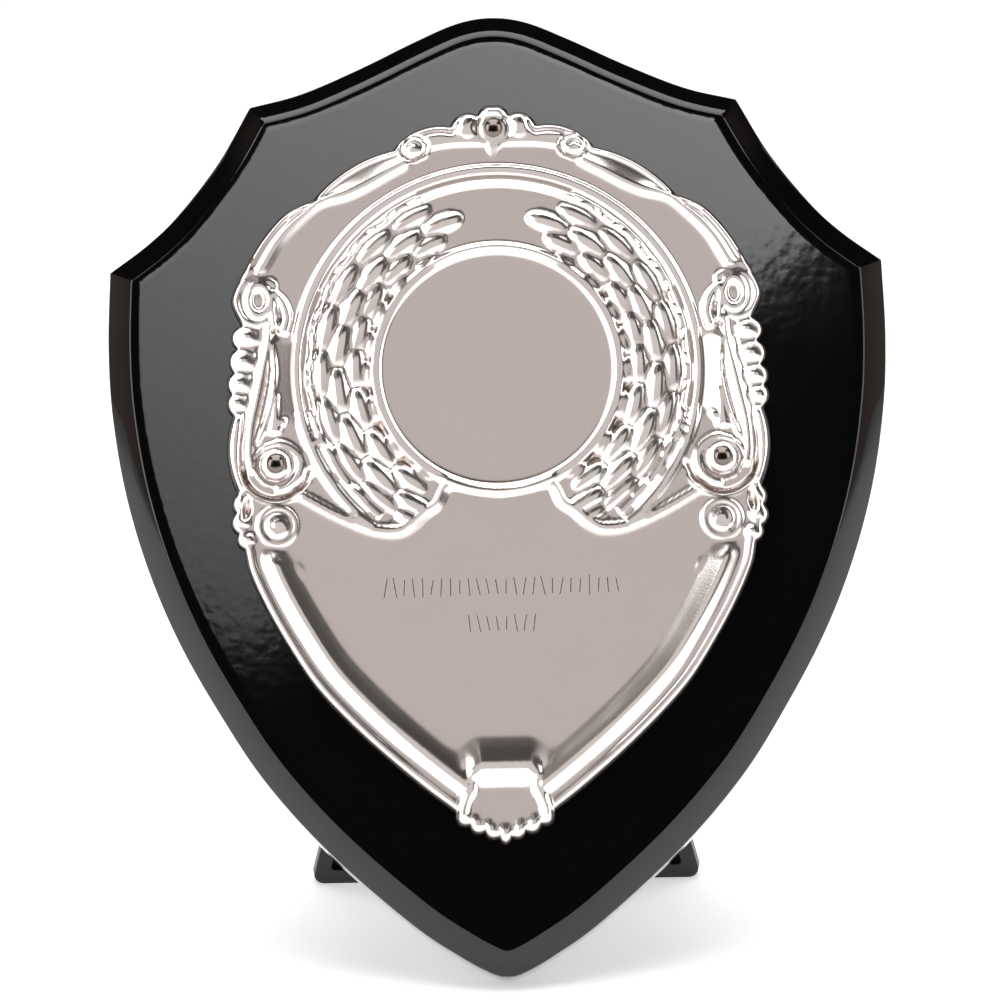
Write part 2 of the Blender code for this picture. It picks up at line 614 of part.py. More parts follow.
def leg_reach(t):
    """How far down the leg meets the ground at a depth t through it."""
    lean = math.radians(LEAN_DEG)
    _, u0, w0 = leg_point(0.0, 0.0, t)
    _, u1, w1 = leg_point(0.0, 1.0, t)
    start = u0 * math.cos(lean) + (w0 + BOARD_THICK) * math.sin(lean)
    end = u1 * math.cos(lean) + (w1 + BOARD_THICK) * math.sin(lean)
    return start / (start - end)


def leg_loop(inset, t):
    """The leg's tapered outline at a depth t, moved in from its edge."""
    foot = leg_reach(t)
    slope = (LEG_FOOT_HALF - LEG_TOP_HALF) / (leg_reach(0.0) - 6.0)
    high = 6.0 + inset
    low = foot - inset
    corner = max(2.2 - inset, 0.6)

    def half(s):
        return LEG_TOP_HALF + slope * (s - 6.0) - inset

    arc = np.radians(np.linspace(0.0, 90.0, 4))
    toe = [(half(low - corner) - corner * (1 - math.cos(a)), low - corner * (1 - math.sin(a))) for a in arc]
    right = [(half(high), high)] + toe
    left = [(-x, s) for x, s in reversed(right)]
    return np.array([leg_point(x, s, t) for x, s in right + left])


def make_leg(material):
    """The moulded leg: a tapered tray, open toward the board, with a barrel at its top."""
    front = LEG_THICK / 2
    web = -front + LEG_WEB
    long = leg_reach(0.0)
    loops = [np.array([leg_point(0.0, long / 2, -front)]), leg_loop(0.0, -front), leg_loop(0.0, front),
             leg_loop(LEG_RIM, front), leg_loop(LEG_RIM, web), np.array([leg_point(0.0, long / 2, web)])]
    leg = solid("strut_leg", *stack(loops), material)
    neck = np.array([leg_point(0.0, s, t)[1:] for s, t in ((0.0, -2.3), (7.5, -2.3), (7.5, 1.6), (0.0, 1.6))])
    combine(leg, prism("neck", neck, -BARREL_HALF + 0.3, BARREL_HALF - 0.3, material), "UNION")
    barrel = barrel_loop(BARREL_R, 25, 0.0, 360.0)[:-1]
    combine(leg, prism("barrel", barrel, -BARREL_HALF, BARREL_HALF, material), "UNION")
    hole = barrel_loop(HINGE_PIN_R + 0.3, 17, 0.0, 360.0)[:-1]
    combine(leg, prism("barrel_hole", hole, -BARREL_HALF - 2.0, BARREL_HALF + 2.0, material), "DIFFERENCE")
    return leg


def make_hinge_pin(material):
    """The wire that the leg turns on."""
    ring = barrel_loop(HINGE_PIN_R, 17, 0.0, 360.0)[:-1]
    return prism("hinge_pin", ring, -BRACKET_HALF + 0.5, BRACKET_HALF - 0.5, material)


def make_screws(material):
    """Two pan-headed screws through the tab into the board's back."""
    seat = -BOARD_THICK - 0.3 - BRACKET_THICK - 0.3
    for name, spot in zip(("screw_right", "screw_left"), screw_spots()):
        profile = [(SCREW_R * 0.55, seat - SCREW_HIGH), (SCREW_R * 0.9, seat - SCREW_HIGH * 0.7),
                   (SCREW_R, seat - 0.4), (SCREW_R, seat), (SCREW_SHANK_R, seat),
                   (SCREW_SHANK_R, -BOARD_THICK + SCREW_DEEP - 1.5), (0.2, -BOARD_THICK + SCREW_DEEP)]
        turned(name, spot, profile, 16, material)


def main():
    """Build every piece of the plaque."""
    for old in list(bpy.data.objects):
        bpy.data.objects.remove(old, do_unlink=True)
    lacquer = finish("black_gloss_lacquer", (0.008, 0.008, 0.009), 0.08, 0.0)
    silver = finish("silver_finish_sheet", (0.62, 0.56, 0.54), 0.28, 1.0)
    steel = finish("nickel_plated_steel", (0.45, 0.42, 0.40), 0.3, 1.0)
    plastic = finish("black_moulded_plastic", (0.02, 0.019, 0.018), 0.5, 0.0)
    make_board(lacquer)
    make_plate(silver)
    make_pins(steel)
    make_bracket(plastic)
    make_screws(steel)
    make_hinge_pin(steel)
    leg = make_leg(plastic)
    hinge = lay([(0.0, HINGE_U, -BOARD_THICK - HINGE_BACK)])[0]
    leg.data.transform(Matrix.Translation(-Vector(hinge)))
    leg.location = hinge


main()
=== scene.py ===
"""Award shield plaque on its strut: gloss board, pressed silver front, pins and moulded strut.

Shapes are worked out in millimetres in the board's own plane, x to the right, u up the face from the
point and w out of the front face.  Stance lays them into the standing pose in metres.
"""
import logging
import math
from collections.abc import Callable
from dataclasses import dataclass, field
from enum import Enum

import bmesh
import bpy
import numpy as np
from mathutils import Matrix, Vector


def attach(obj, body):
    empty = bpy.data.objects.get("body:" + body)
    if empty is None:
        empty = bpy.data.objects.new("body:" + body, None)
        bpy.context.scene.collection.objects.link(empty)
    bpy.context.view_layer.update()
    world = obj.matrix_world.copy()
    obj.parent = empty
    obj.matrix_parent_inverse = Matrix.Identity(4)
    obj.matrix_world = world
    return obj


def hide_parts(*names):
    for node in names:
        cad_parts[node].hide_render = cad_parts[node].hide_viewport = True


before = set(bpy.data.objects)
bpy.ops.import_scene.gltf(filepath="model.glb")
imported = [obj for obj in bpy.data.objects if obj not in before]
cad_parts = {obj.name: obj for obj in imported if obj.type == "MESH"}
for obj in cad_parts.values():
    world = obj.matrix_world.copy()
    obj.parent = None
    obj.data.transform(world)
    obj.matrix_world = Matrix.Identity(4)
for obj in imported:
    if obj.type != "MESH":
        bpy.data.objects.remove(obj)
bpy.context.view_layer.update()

LOG = logging.getLogger("plaque")
MIRROR = np.array([-1.0, 1.0])
MM = 0.001
Points = np.ndarray
Pair = tuple[float, float]
Triple = tuple[float, float, float]


# Curves and profiles

def spline(knots: list[Pair] | Points, count: int) -> Points:
    """Run a smooth curve through the knots.

    Catmull-Rom: on each span the point is a cubic blend of the four nearest knots, whose slope at a
    knot is half the step between the knots on each side of it.

    Args:
        knots: Points that the curve passes through.
        count: About how many points to give back.

    Returns:
        The curve's points, both ends included.
    """
    k = np.asarray(knots, dtype=float)
    k = np.vstack([2 * k[0] - k[1], k, 2 * k[-1] - k[-2]])
    spans = len(k) - 3
    each = max(2, int(round(count / spans)))
    t = np.linspace(0.0, 1.0, each, endpoint=False)[None, :, None]
    a, b, c, d = (k[i:i + spans][:, None, :] for i in range(4))
    curve = 0.5 * (2 * b + (c - a) * t + (2 * a - 5 * b + 4 * c - d) * t ** 2
                   + (3 * b - a - 3 * c + d) * t ** 3)
    return np.vstack([curve.reshape(-1, 2), k[-2][None]])


def lobe(a: Pair, b: Pair, bulge: float, count: int) -> Points:
    """Bow an arc from a up to b, to the left of the way it runs.

    The radius follows from chord and rise: (chord squared / 4 + rise squared) / (2 rise).

    Args:
        a: Start of the arc, kept.
        b: End of the arc, left to the next stretch.
        bulge: The arc's rise as a share of its chord.
        count: How many points.

    Returns:
        The arc's points without its end.
    """
    start = np.asarray(a, dtype=float)
    end = np.asarray(b, dtype=float)
    chord = end - start
    long = float(np.hypot(*chord))
    rise = bulge * long
    radius = (long * long / 4 + rise * rise) / (2 * rise)
    left = np.array([-chord[1], chord[0]]) / long
    centre = (start + end) / 2 + left * (rise - radius)
    first = math.atan2(start[1] - centre[1], start[0] - centre[0])
    angle = first - 4 * math.atan2(2 * rise, long) * np.linspace(0.0, 1.0, count, endpoint=False)
    return centre + radius * np.stack([np.cos(angle), np.sin(angle)], axis=1)


def lobes(start: Pair, ends: list[tuple[Pair, float]], count: int) -> Points:
    """Bow one arc after another from a start, each to its own end and with its own bulge."""
    rows = []
    for end, bulge in ends:
        rows.append(lobe(start, end, bulge, count))
        start = end
    return np.vstack(rows)


def near(x: Points, u: Points, path: Points) -> tuple[Points, Points]:
    """Find each point's distance to a path and its place along it.

    On each straight bit the nearest place is the dot product with the bit over its length squared,
    held between 0 and 1; the shortest of these distances counts.

    Args:
        x: Points' x.
        u: Points' u.
        path: The path's points.

    Returns:
        The distances, and the places along the path from 0 to 1.
    """
    p = np.stack([x.ravel(), u.ravel()], axis=1)
    start = path[:-1]
    step = path[1:] - start
    square = np.maximum((step ** 2).sum(axis=1), 1e-12)
    far = np.empty(len(p))
    along = np.empty(len(p))
    block = max(1000, 4_000_000 // len(start))
    for i in range(0, len(p), block):
        q = p[i:i + block, None, :] - start[None]
        t = np.clip((q * step).sum(axis=2) / square, 0.0, 1.0)
        gap = ((q - t[..., None] * step) ** 2).sum(axis=2)
        j = gap.argmin(axis=1)
        row = np.arange(len(j))
        far[i:i + block] = np.sqrt(gap[row, j])
        along[i:i + block] = (j + t[row, j]) / len(start)
    return far.reshape(x.shape), along.reshape(x.shape)


def ease(value: Points, low: float, high: float) -> Points:
    """Rise smoothly from 0 at low to 1 at high: t squared times (3 - 2t)."""
    t = np.clip((value - low) / (high - low), 0.0, 1.0)
    return t * t * (3 - 2 * t)


def roll(distance: Points, half: Points | float) -> Points:
    """Round swelling: the square root of 1 - (distance / half) squared."""
    return np.sqrt(np.clip(1 - (distance / half) ** 2, 0.0, 1.0))


def gable(distance: Points, half: Points | float) -> Points:
    """Low ridge with straight flanks: 1 on its line, and 0 from half its width on."""
    return np.clip(1 - np.abs(distance) / half, 0.0, 1.0)


def bud(distance: Points, half: Points | float) -> Points:
    """A bead's section: a gable to the power 0.85, which rounds its flanks a little."""
    return gable(distance, half) ** 0.85


def bell(distance: Points, half: Points | float) -> Points:
    """Soft swelling or groove: 1 on its line and eased to 0 at its half width."""
    return ease(half - np.abs(distance), 0.0, 1.0 * half)


def trace(value: Points, *stations: Pair) -> Points:
    """Read heights off a section, given as (place, height) stations joined by straight lines."""
    return np.interp(value, *zip(*stations))


def raised(high: Points, distance: Points, half: Points | float, base: float, rise: float,
           section: Callable[..., Points] = roll) -> Points:
    """Raise a moulding over the heights so far, wherever it stands out of them.

    Args:
        high: Heights so far.
        distance: Distance from the moulding's line or centre.
        half: Half its width, or its radius.
        base: Height of its foot.
        rise: Height of its back above its foot.
        section: Shape of its section, 1 in the middle and 0 at half its width.

    Returns:
        Heights with the moulding.
    """
    return np.maximum(high, (base + rise * section(distance, half)) * (np.abs(distance) < half))


def whole(half: Points) -> Points:
    """Close a right half outline into a loop with its mirror image."""
    return np.vstack([half, half[-2:0:-1] * MIRROR])


def evenly(path: Points, count: int) -> Points:
    """Put count points at equal steps along a path, both ends kept."""
    run = np.concatenate([[0.0], np.cumsum(np.hypot(*np.diff(path, axis=0).T))])
    even = np.linspace(0.0, run[-1], count)
    return np.stack([np.interp(even, run, path[:, 0]), np.interp(even, run, path[:, 1])], axis=1)


# Stance

@dataclass(frozen=True)
class Stance:
    """How the plaque stands: its face tipped back, its point and its strut's foot on the ground."""

    lean: float = math.radians(20.0)
    thick: float = 15.0
    shift_y: float = -50.15

    def lay(self, points: Points) -> Points:
        """Turn (x, u, w) in millimetres into the standing pose in metres.

        Back is u sin(lean) - w cos(lean) and up is u cos(lean) + (w + thickness) sin(lean).

        Args:
            points: Board points.

        Returns:
            World points.
        """
        p = np.asarray(points, dtype=float).reshape(-1, 3)
        sin, cos = math.sin(self.lean), math.cos(self.lean)
        y = p[:, 1] * sin - p[:, 2] * cos + self.shift_y
        z = p[:, 1] * cos + (p[:, 2] + self.thick) * sin
        return np.stack([p[:, 0], y, z], axis=1) * MM


STANCE = Stance()


class Body(Enum):
    """The two bodies that pieces ride on."""

    PLAQUE = "plaque"
    LEG = "leg"


# Meshes

def grid_faces(rows: int, columns: int) -> Points:
    """Quads between neighbouring closed rings of equal length."""
    i = np.arange(rows - 1)[:, None] * columns
    j = np.arange(columns)[None, :]
    k = (j + 1) % columns
    return np.stack([i + j, i + k, i + columns + k, i + columns + j], axis=-1).reshape(-1, 4)


def stack(loops: list[Points]) -> tuple[Points, list[tuple[int, ...]]]:
    """Join closed loops of equal length; a one-point loop at an end closes it as a fan.

    Args:
        loops: Rings of points in order along the surface.

    Returns:
        All points, and the faces between them.
    """
    points = np.vstack(loops)
    rings = [loop for loop in loops if len(loop) > 1]
    count = len(rings[0])
    first = len(loops[0]) if len(loops[0]) == 1 else 0
    faces = [tuple(f) for f in (grid_faces(len(rings), count) + first).tolist()]
    j = np.arange(count)
    k = (j + 1) % count
    if len(loops[0]) == 1:
        faces += [(0, int(b), int(a)) for a, b in zip(j + 1, k + 1)]
    if len(loops[-1]) == 1:
        last = len(points) - 1
        base = last - count
        faces += [(int(base + a), int(base + b), last) for a, b in zip(j, k)]
    return points, faces


def at(flat: Points, w: float | Points) -> Points:
    """Lift board-plane points to a height, or to a height each."""
    flat = np.asarray(flat, dtype=float).reshape(-1, 2)
    return np.column_stack([flat, np.broadcast_to(w, len(flat))])


def solid(name: str, points: Points, faces: list[tuple[int, ...]],
          smooth: float = 30.0) -> bpy.types.Object:
    """Make a closed piece from board points.

    Args:
        name: The piece's name.
        points: Board points in millimetres.
        faces: Their faces.
        smooth: Edges sharper than this many degrees stay crisp.

    Returns:
        The new object, at the origin, with its place in its mesh.
    """
    mesh = bpy.data.meshes.new(name)
    mesh.from_pydata([tuple(p) for p in STANCE.lay(points).tolist()], [], faces)
    work = bmesh.new()
    work.from_mesh(mesh)
    bmesh.ops.recalc_face_normals(work, faces=work.faces)
    work.to_mesh(mesh)
    work.free()
    mesh.shade_smooth()
    mesh.set_sharp_from_angle(angle=math.radians(smooth))
    piece = bpy.data.objects.new(name, mesh)
    bpy.context.scene.collection.objects.link(piece)
    return piece


def turned(name: str, centre: Pair, profile: list[Pair], count: int = 48) -> bpy.types.Object:
    """Turn a (radius, w) profile about an axis square to the board, both ends closed."""
    a = np.linspace(0.0, 2 * math.pi, count, endpoint=False)
    ring = np.stack([np.cos(a), np.sin(a)], axis=1)
    middle = np.array([centre])
    loops = [at(middle, profile[0][1])]
    loops += [at(middle + radius * ring, w) for radius, w in profile]
    loops.append(at(middle, profile[-1][1]))
    return solid(name, *stack(loops))


def soften(piece: bpy.types.Object, width_mm: float, segments: int = 2) -> None:
    """Round a piece's crisp edges with a bevel, and keep the shading of its large faces flat."""
    bevel = piece.modifiers.new("soft_edges", "BEVEL")
    bevel.width = width_mm * MM
    bevel.segments = segments
    bevel.limit_method = "ANGLE"
    bevel.angle_limit = math.radians(28.0)
    settle(piece)
    piece.data.shade_smooth()
    piece.data.set_sharp_from_angle(angle=math.radians(40.0))
    flat = piece.modifiers.new("flat_faces", "WEIGHTED_NORMAL")
    flat.keep_sharp = True
    settle(piece)


def settle(piece: bpy.types.Object) -> None:
    """Apply every modifier of a piece to its mesh."""
    bpy.context.view_layer.update()
    view = bpy.context.evaluated_depsgraph_get()
    result = bpy.data.meshes.new_from_object(piece.evaluated_get(view))
    old = piece.data
    piece.modifiers.clear()
    piece.data = result
    bpy.data.meshes.remove(old)


def combine(piece: bpy.types.Object, tool: bpy.types.Object, operation: str) -> None:
    """Join a tool to a piece, or take it away, with an exact boolean, and drop the tool."""
    change = piece.modifiers.new(tool.name, "BOOLEAN")
    change.operation = operation
    change.solver = "EXACT"
    change.object = tool
    settle(piece)
    bpy.data.objects.remove(tool, do_unlink=True)


# Finishes

def linear(colour: str) -> tuple[float, float, float, float]:
    """Turn an sRGB hex colour to linear light.

    Each channel below 0.04045 is divided by 12.92; above it, it is ((c + 0.055) / 1.055) ** 2.4.

    Args:
        colour: Six hex digits.

    Returns:
        Linear red, green, blue and a full alpha.
    """
    parts = [int(colour[i:i + 2], 16) / 255 for i in (0, 2, 4)]
    red, green, blue = (c / 12.92 if c <= 0.04045 else ((c + 0.055) / 1.055) ** 2.4 for c in parts)
    return red, green, blue, 1.0


def wire(tree: bpy.types.NodeTree, target: bpy.types.Node, inputs: dict) -> None:
    """Give a node's sockets their plain values, or link the output sockets that feed them."""
    for key, value in inputs.items():
        if isinstance(value, bpy.types.NodeSocket):
            tree.links.new(value, target.inputs[key])
        else:
            target.inputs[key].default_value = value


def node(tree: bpy.types.NodeTree, kind: str, settings: dict | None = None,
         inputs: dict | None = None) -> bpy.types.Node:
    """Add a node with its settings, plain values and links.

    Args:
        tree: The tree that it joins.
        kind: The node's type name.
        settings: Attributes to set on the node.
        inputs: Socket name or number to a plain value, or to the output socket that feeds it.

    Returns:
        The new node.
    """
    new = tree.nodes.new(kind)
    for key, value in (settings or {}).items():
        setattr(new, key, value)
    wire(tree, new, inputs or {})
    return new


def noise(tree: bpy.types.NodeTree, scale: float, detail: float,
          rough: float = 0.5) -> bpy.types.NodeSocket:
    """Cloudy noise over a piece's own coordinates, so many times a metre."""
    place = node(tree, "ShaderNodeTexCoord").outputs["Object"]
    new = node(tree, "ShaderNodeTexNoise", inputs={"Vector": place, "Scale": scale, "Detail": detail,
                                                   "Roughness": rough})
    return new.outputs["Fac"]


def remap(tree: bpy.types.NodeTree, value: bpy.types.NodeSocket, low: float, high: float,
          start: float = 0.0, stop: float = 1.0) -> bpy.types.NodeSocket:
    """Turn a pattern that runs from start to stop into one from low to high."""
    new = node(tree, "ShaderNodeMapRange", inputs={"Value": value, "From Min": start, "From Max": stop,
                                                   "To Min": low, "To Max": high})
    return new.outputs["Result"]


def relieve(tree: bpy.types.NodeTree, height: bpy.types.NodeSocket, strength: float,
            depth_mm: float) -> bpy.types.NodeSocket:
    """Bend the shading by a height pattern of a given depth."""
    new = node(tree, "ShaderNodeBump", inputs={"Height": height, "Strength": strength,
                                               "Distance": depth_mm * MM})
    return new.outputs["Normal"]


def mix(tree: bpy.types.NodeTree, share: bpy.types.NodeSocket, first: object,
        second: object) -> bpy.types.NodeSocket:
    """Blend from one colour to another by a share."""
    return node(tree, "ShaderNodeMix", {"data_type": "RGBA"}, {0: share, 6: first, 7: second}).outputs[2]


def blank(name: str) -> tuple[bpy.types.Material, bpy.types.NodeTree, bpy.types.Node]:
    """Start a material with only its shader and output."""
    material = bpy.data.materials.new(name)
    material.use_nodes = True
    tree = material.node_tree
    return material, tree, tree.nodes["Principled BSDF"]


@dataclass(frozen=True)
class GlossLacquer:
    """Black polyurethane lacquer, sprayed and buffed over a smooth board.

    It shows as deep black with mirror reflections that waver a little with the spray's orange peel.
    """

    colour: str = "050506"
    roughness: float = 0.035
    peel_mm: float = 2.6
    peel_strength: float = 0.018
    haze_per_m: float = 38.0

    def make(self) -> bpy.types.Material:
        """Build the lacquer."""
        material, tree, shader = blank("black_gloss_lacquer")
        peel = noise(tree, 1 / (self.peel_mm * MM), 1.5, 0.45)
        haze = noise(tree, self.haze_per_m, 3.0)
        wire(tree, shader, {
            "Base Color": linear(self.colour), "IOR": 1.5,
            "Roughness": remap(tree, haze, self.roughness, self.roughness + 0.03, 0.35, 0.7),
            "Normal": relieve(tree, peel, self.peel_strength, 0.6)})
        return material


@dataclass(frozen=True)
class SilverSheet:
    """Nickel-silver finish on pressed sheet: satin flats, rubbed ridges with a painted highlight, painted
    shade in hollows.

    The mesh attribute polish is 1 on ridges and 0 on flats; it makes them glossier and paints them lighter,
    a painted highlight. The attribute hollow is 1 in the grooves and paints them darker, a painted shade.
    """

    flat: str = "dcd5d2"
    # Lighter colour on the ridges: a painted highlight.
    bright: str = "f3efec"
    # Darker colour in the grooves: painted shade.
    hollow_shade_colour: str = "a09088"
    satin: float = 0.17
    polished: float = 0.10
    grain_mm: float = 0.35
    cloud_per_m: float = 60.0
    cut: str = "7d716c"
    face_mm: float = 2.0
    cell_mm: float = 1.9
    line_mm: float = 0.28
    rows_mm: tuple[Triple, ...] = ((79.6, 4.6, 24.7), (72.0, 4.4, 7.7))

    def make(self) -> bpy.types.Material:
        """Build the sheet's finish."""
        material, tree, shader = blank("silver_finish_sheet")
        polish_and_highlight = node(tree, "ShaderNodeAttribute", {"attribute_name": "polish_and_highlight"}).outputs["Fac"]
        sunk = node(tree, "ShaderNodeAttribute", {"attribute_name": "hollow_shade"}).outputs["Fac"]
        # Ridges get a lighter colour, a painted highlight.
        tone = mix(tree, polish_and_highlight, linear(self.flat), linear(self.bright))
        # Grooves get a darker colour, painted shade.
        dark = mix(tree, sunk, tone, linear(self.hollow_shade_colour))
        cut = self.strokes(tree, node(tree, "ShaderNodeTexCoord").outputs["Object"])
        vary = node(tree, "ShaderNodeMath", {"operation": "MULTIPLY_ADD"},
                    {0: noise(tree, self.cloud_per_m, 4.0, 0.6), 1: 0.08,
                     2: remap(tree, polish_and_highlight, self.satin, self.polished)})
        grain = relieve(tree, noise(tree, 1 / (self.grain_mm * MM), 2.0), 0.06, 0.2)
        etched = node(tree, "ShaderNodeBump", {"invert": True},
                      {"Height": cut, "Strength": 0.5, "Distance": 0.1 * MM, "Normal": grain})
        wire(tree, shader, {"Base Color": mix(tree, cut, dark, linear(self.cut)), "Metallic": 1.0,
                            "Roughness": vary.outputs["Value"], "Normal": etched.outputs["Normal"]})
        return material

    def strokes(self, tree: bpy.types.NodeTree, place: bpy.types.NodeSocket) -> bpy.types.NodeSocket:
        """Draw two rows of short engraved strokes, which spell nothing.

        Each row is cut into cells, and each holds one thin line whose lean and length are random
        numbers of its cell.

        Args:
            tree: The material's nodes.
            place: The surface position in metres.

        Returns:
            1 on a stroke and 0 elsewhere.
        """
        def sums(kind: str, *values: float | bpy.types.NodeSocket) -> bpy.types.NodeSocket:
            new = node(tree, "ShaderNodeMath", {"operation": kind}, dict(enumerate(values)))
            return new.outputs["Value"]

        split = node(tree, "ShaderNodeSeparateXYZ", inputs={0: place})
        x = sums("MULTIPLY", split.outputs["X"], 1 / MM)
        up = sums("MULTIPLY_ADD", split.outputs["Z"], 1 / MM / math.cos(STANCE.lean),
                  -(STANCE.thick + self.face_mm) * math.tan(STANCE.lean))
        cell = sums("FLOOR", sums("DIVIDE", x, self.cell_mm))
        middle = sums("MULTIPLY", sums("ADD", cell, 0.5), self.cell_mm)
        chance = node(tree, "ShaderNodeTexWhiteNoise", {"noise_dimensions": "1D"}, {"W": cell})
        colour = node(tree, "ShaderNodeSeparateColor", inputs={0: chance.outputs["Color"]})
        tilt = sums("MULTIPLY", sums("SUBTRACT", colour.outputs["Red"], 0.5), 0.45)
        share = sums("MULTIPLY_ADD", colour.outputs["Green"], 0.22, 0.28)
        total: float | bpy.types.NodeSocket = 0.0
        for row, tall, reach in self.rows_mm:
            rise = sums("SUBTRACT", up, row)
            aside = sums("SUBTRACT", sums("SUBTRACT", x, middle), sums("MULTIPLY", rise, tilt))
            line = sums("LESS_THAN", sums("ABSOLUTE", aside), self.line_mm / 2)
            level = sums("LESS_THAN", sums("ABSOLUTE", rise), sums("MULTIPLY", share, tall))
            inside = sums("MULTIPLY", level, sums("LESS_THAN", sums("ABSOLUTE", x), reach))
            total = sums("MAXIMUM", total, sums("MULTIPLY", line, inside))
        return total


@dataclass(frozen=True)
class PlatedSteel:
    """Nickel or zinc plated steel of pins and screws: bright, finely scuffed."""

    name: str
    colour: str
    roughness: float
    scuff_per_m: float = 900.0

    def make(self) -> bpy.types.Material:
        """Build the plating."""
        material, tree, shader = blank(self.name)
        scuff = noise(tree, self.scuff_per_m, 3.0)
        wire(tree, shader, {"Base Color": linear(self.colour), "Metallic": 1.0,
                            "Roughness": remap(tree, scuff, self.roughness, self.roughness + 0.12)})
        return material


@dataclass(frozen=True)
class MouldedPlastic:
    """Black polypropylene, injection moulded with a fine spark-eroded texture."""

    colour: str = "1f1d1c"
    roughness: float = 0.42
    texture_mm: float = 0.45
    rub_per_m: float = 45.0

    def make(self) -> bpy.types.Material:
        """Build the plastic."""
        material, tree, shader = blank("black_moulded_polypropylene")
        spark = noise(tree, 1 / (self.texture_mm * MM), 2.0)
        rub = noise(tree, self.rub_per_m, 3.0)
        wire(tree, shader, {
            "Base Color": linear(self.colour), "IOR": 1.49,
            "Roughness": remap(tree, rub, self.roughness - 0.05, self.roughness + 0.08, 0.3, 0.7),
            "Normal": relieve(tree, spark, 0.25, 0.2)})
        return material


def dress(piece: bpy.types.Object, material: bpy.types.Material, body: Body,
          stands_for: str) -> bpy.types.Object:
    """Give a piece its finish and hand it to the frame.

    Args:
        piece: The new piece.
        material: Its finish.
        body: The body that it rides on.
        stands_for: The CAD node that it replaces.

    Returns:
        The piece.
    """
    piece.data.materials.clear()
    piece.data.materials.append(material)
    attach(piece, body.value)
    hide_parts(stands_for)
    LOG.info("%s: %d faces", piece.name, len(piece.data.polygons))
    return piece


# Board

@dataclass
class Board:
    """The shield-shaped board with its broad front chamfer."""

    thick: float = 15.0
    chamfer_wide: float = 4.7
    chamfer_deep: float = 5.2
    arris: float = 0.35
    middle: Pair = (0.0, 112.0)
    counts: tuple[int, ...] = (121, 41, 261, 41)
    crown: list[Pair] = field(default_factory=lambda: [(0.0, 200.0), (7.2, 198.9), (16.0, 195.2),
                                                       (27.9, 189.5), (39.9, 184.5), (50.6, 181.8)])
    flank: list[Pair] = field(default_factory=lambda: [(50.6, 181.8), (57.2, 170.3), (65.4, 159.7),
                                                       (71.9, 153.4), (80.0, 147.4)])
    cheek: list[Pair] = field(default_factory=lambda: [(80.0, 147.4), (80.5, 131.9), (79.8, 117.5),
                                                       (77.2, 101.1), (72.8, 85.4), (66.7, 70.4),
                                                       (58.7, 55.7), (49.0, 40.7), (35.9, 25.8),
                                                       (19.6, 11.2), (9.7, 4.3), (3.2, 0.7), (0.0, 0.0)])

    def stretches(self) -> list[Points]:
        """Smooth stretches of the edge between its corners, from the crown round to the right."""
        crown = np.array(self.crown)
        cheek = np.array(self.cheek)
        top = spline(np.vstack([crown[:0:-1] * MIRROR, crown]), 400)
        under = spline(np.vstack([cheek, cheek[-2::-1] * MIRROR]), 900)
        side = spline(self.flank, 200)
        runs = [top, side, under, side[::-1] * MIRROR]
        return [evenly(run, count) for run, count in zip(runs, self.counts)]

    def inset(self, wide: float) -> Points:
        """Move the edge inward by a width, its corners mitred.

        A point moves along its stretch's inward normal; at a corner it moves along the sum of the two
        normals over 1 + their dot product, and the stretch is cut back by width times the tangent of
        half the turn.

        Args:
            wide: How far in, in millimetres.

        Returns:
            The inset loop, point for point with the edge.
        """
        runs = self.stretches()
        heads = []
        for run in runs:
            way = np.diff(run, axis=0)
            way /= np.hypot(way[:, 0], way[:, 1])[:, None]
            heads.append((way[0], way[-1]))
        loops = []
        for i, run in enumerate(runs):
            before, (first, last) = heads[i - 1][1], heads[i]
            after = heads[(i + 1) % len(runs)][0]
            cut_a = wide * math.tan(0.5 * math.acos(float(np.clip(before @ first, -1.0, 1.0))))
            cut_b = wide * math.tan(0.5 * math.acos(float(np.clip(last @ after, -1.0, 1.0))))
            length = np.concatenate([[0.0], np.cumsum(np.hypot(*np.diff(run, axis=0).T))])
            spot = np.linspace(cut_a, length[-1] - cut_b, len(run))
            slope = np.gradient(run, length, axis=0)
            base = np.stack([np.interp(spot, length, run[:, k]) for k in (0, 1)], axis=1)
            way = np.stack([np.interp(spot, length, slope[:, k]) for k in (0, 1)], axis=1)
            way /= np.hypot(way[:, 0], way[:, 1])[:, None]
            moved = base + wide * np.stack([way[:, 1], -way[:, 0]], axis=1)
            corner = np.array([before[1] + first[1], -before[0] - first[0]]) / (1 + before @ first)
            moved[0] = run[0] + wide * corner
            loops.append(moved[:-1])
        return np.vstack(loops)

    def build(self) -> bpy.types.Object:
        """Make the board: level face, chamfer, side wall and back, with its arrises eased.

        Each arris is a short quarter round: three loops between one face and the next.

        Returns:
            The board.
        """
        a = self.arris
        face = self.chamfer_wide
        slope = self.chamfer_deep / self.chamfer_wide
        stations = [(face + 2.5, 0.0), (face + a, 0.0), (face + 0.35 * a, -0.12 * a),
                    (face - 0.5 * a, -0.5 * a * slope), (face / 2, -self.chamfer_deep / 2),
                    (0.5 * a, -self.chamfer_deep + 0.5 * a * slope),
                    (0.1 * a, -self.chamfer_deep - 0.05 * a), (0.0, -self.chamfer_deep - a),
                    (0.0, -self.thick + 1.2 * a), (0.3 * a, -self.thick + 0.3 * a), (1.2 * a, -self.thick),
                    (3.0, -self.thick)]
        loops = [at(self.middle, 0.0)]
        loops += [at(self.inset(wide), w) for wide, w in stations]
        loops.append(at(self.middle, -self.thick))
        return solid("lacquered_board", *stack(loops), smooth=32.0)


# Pressed front

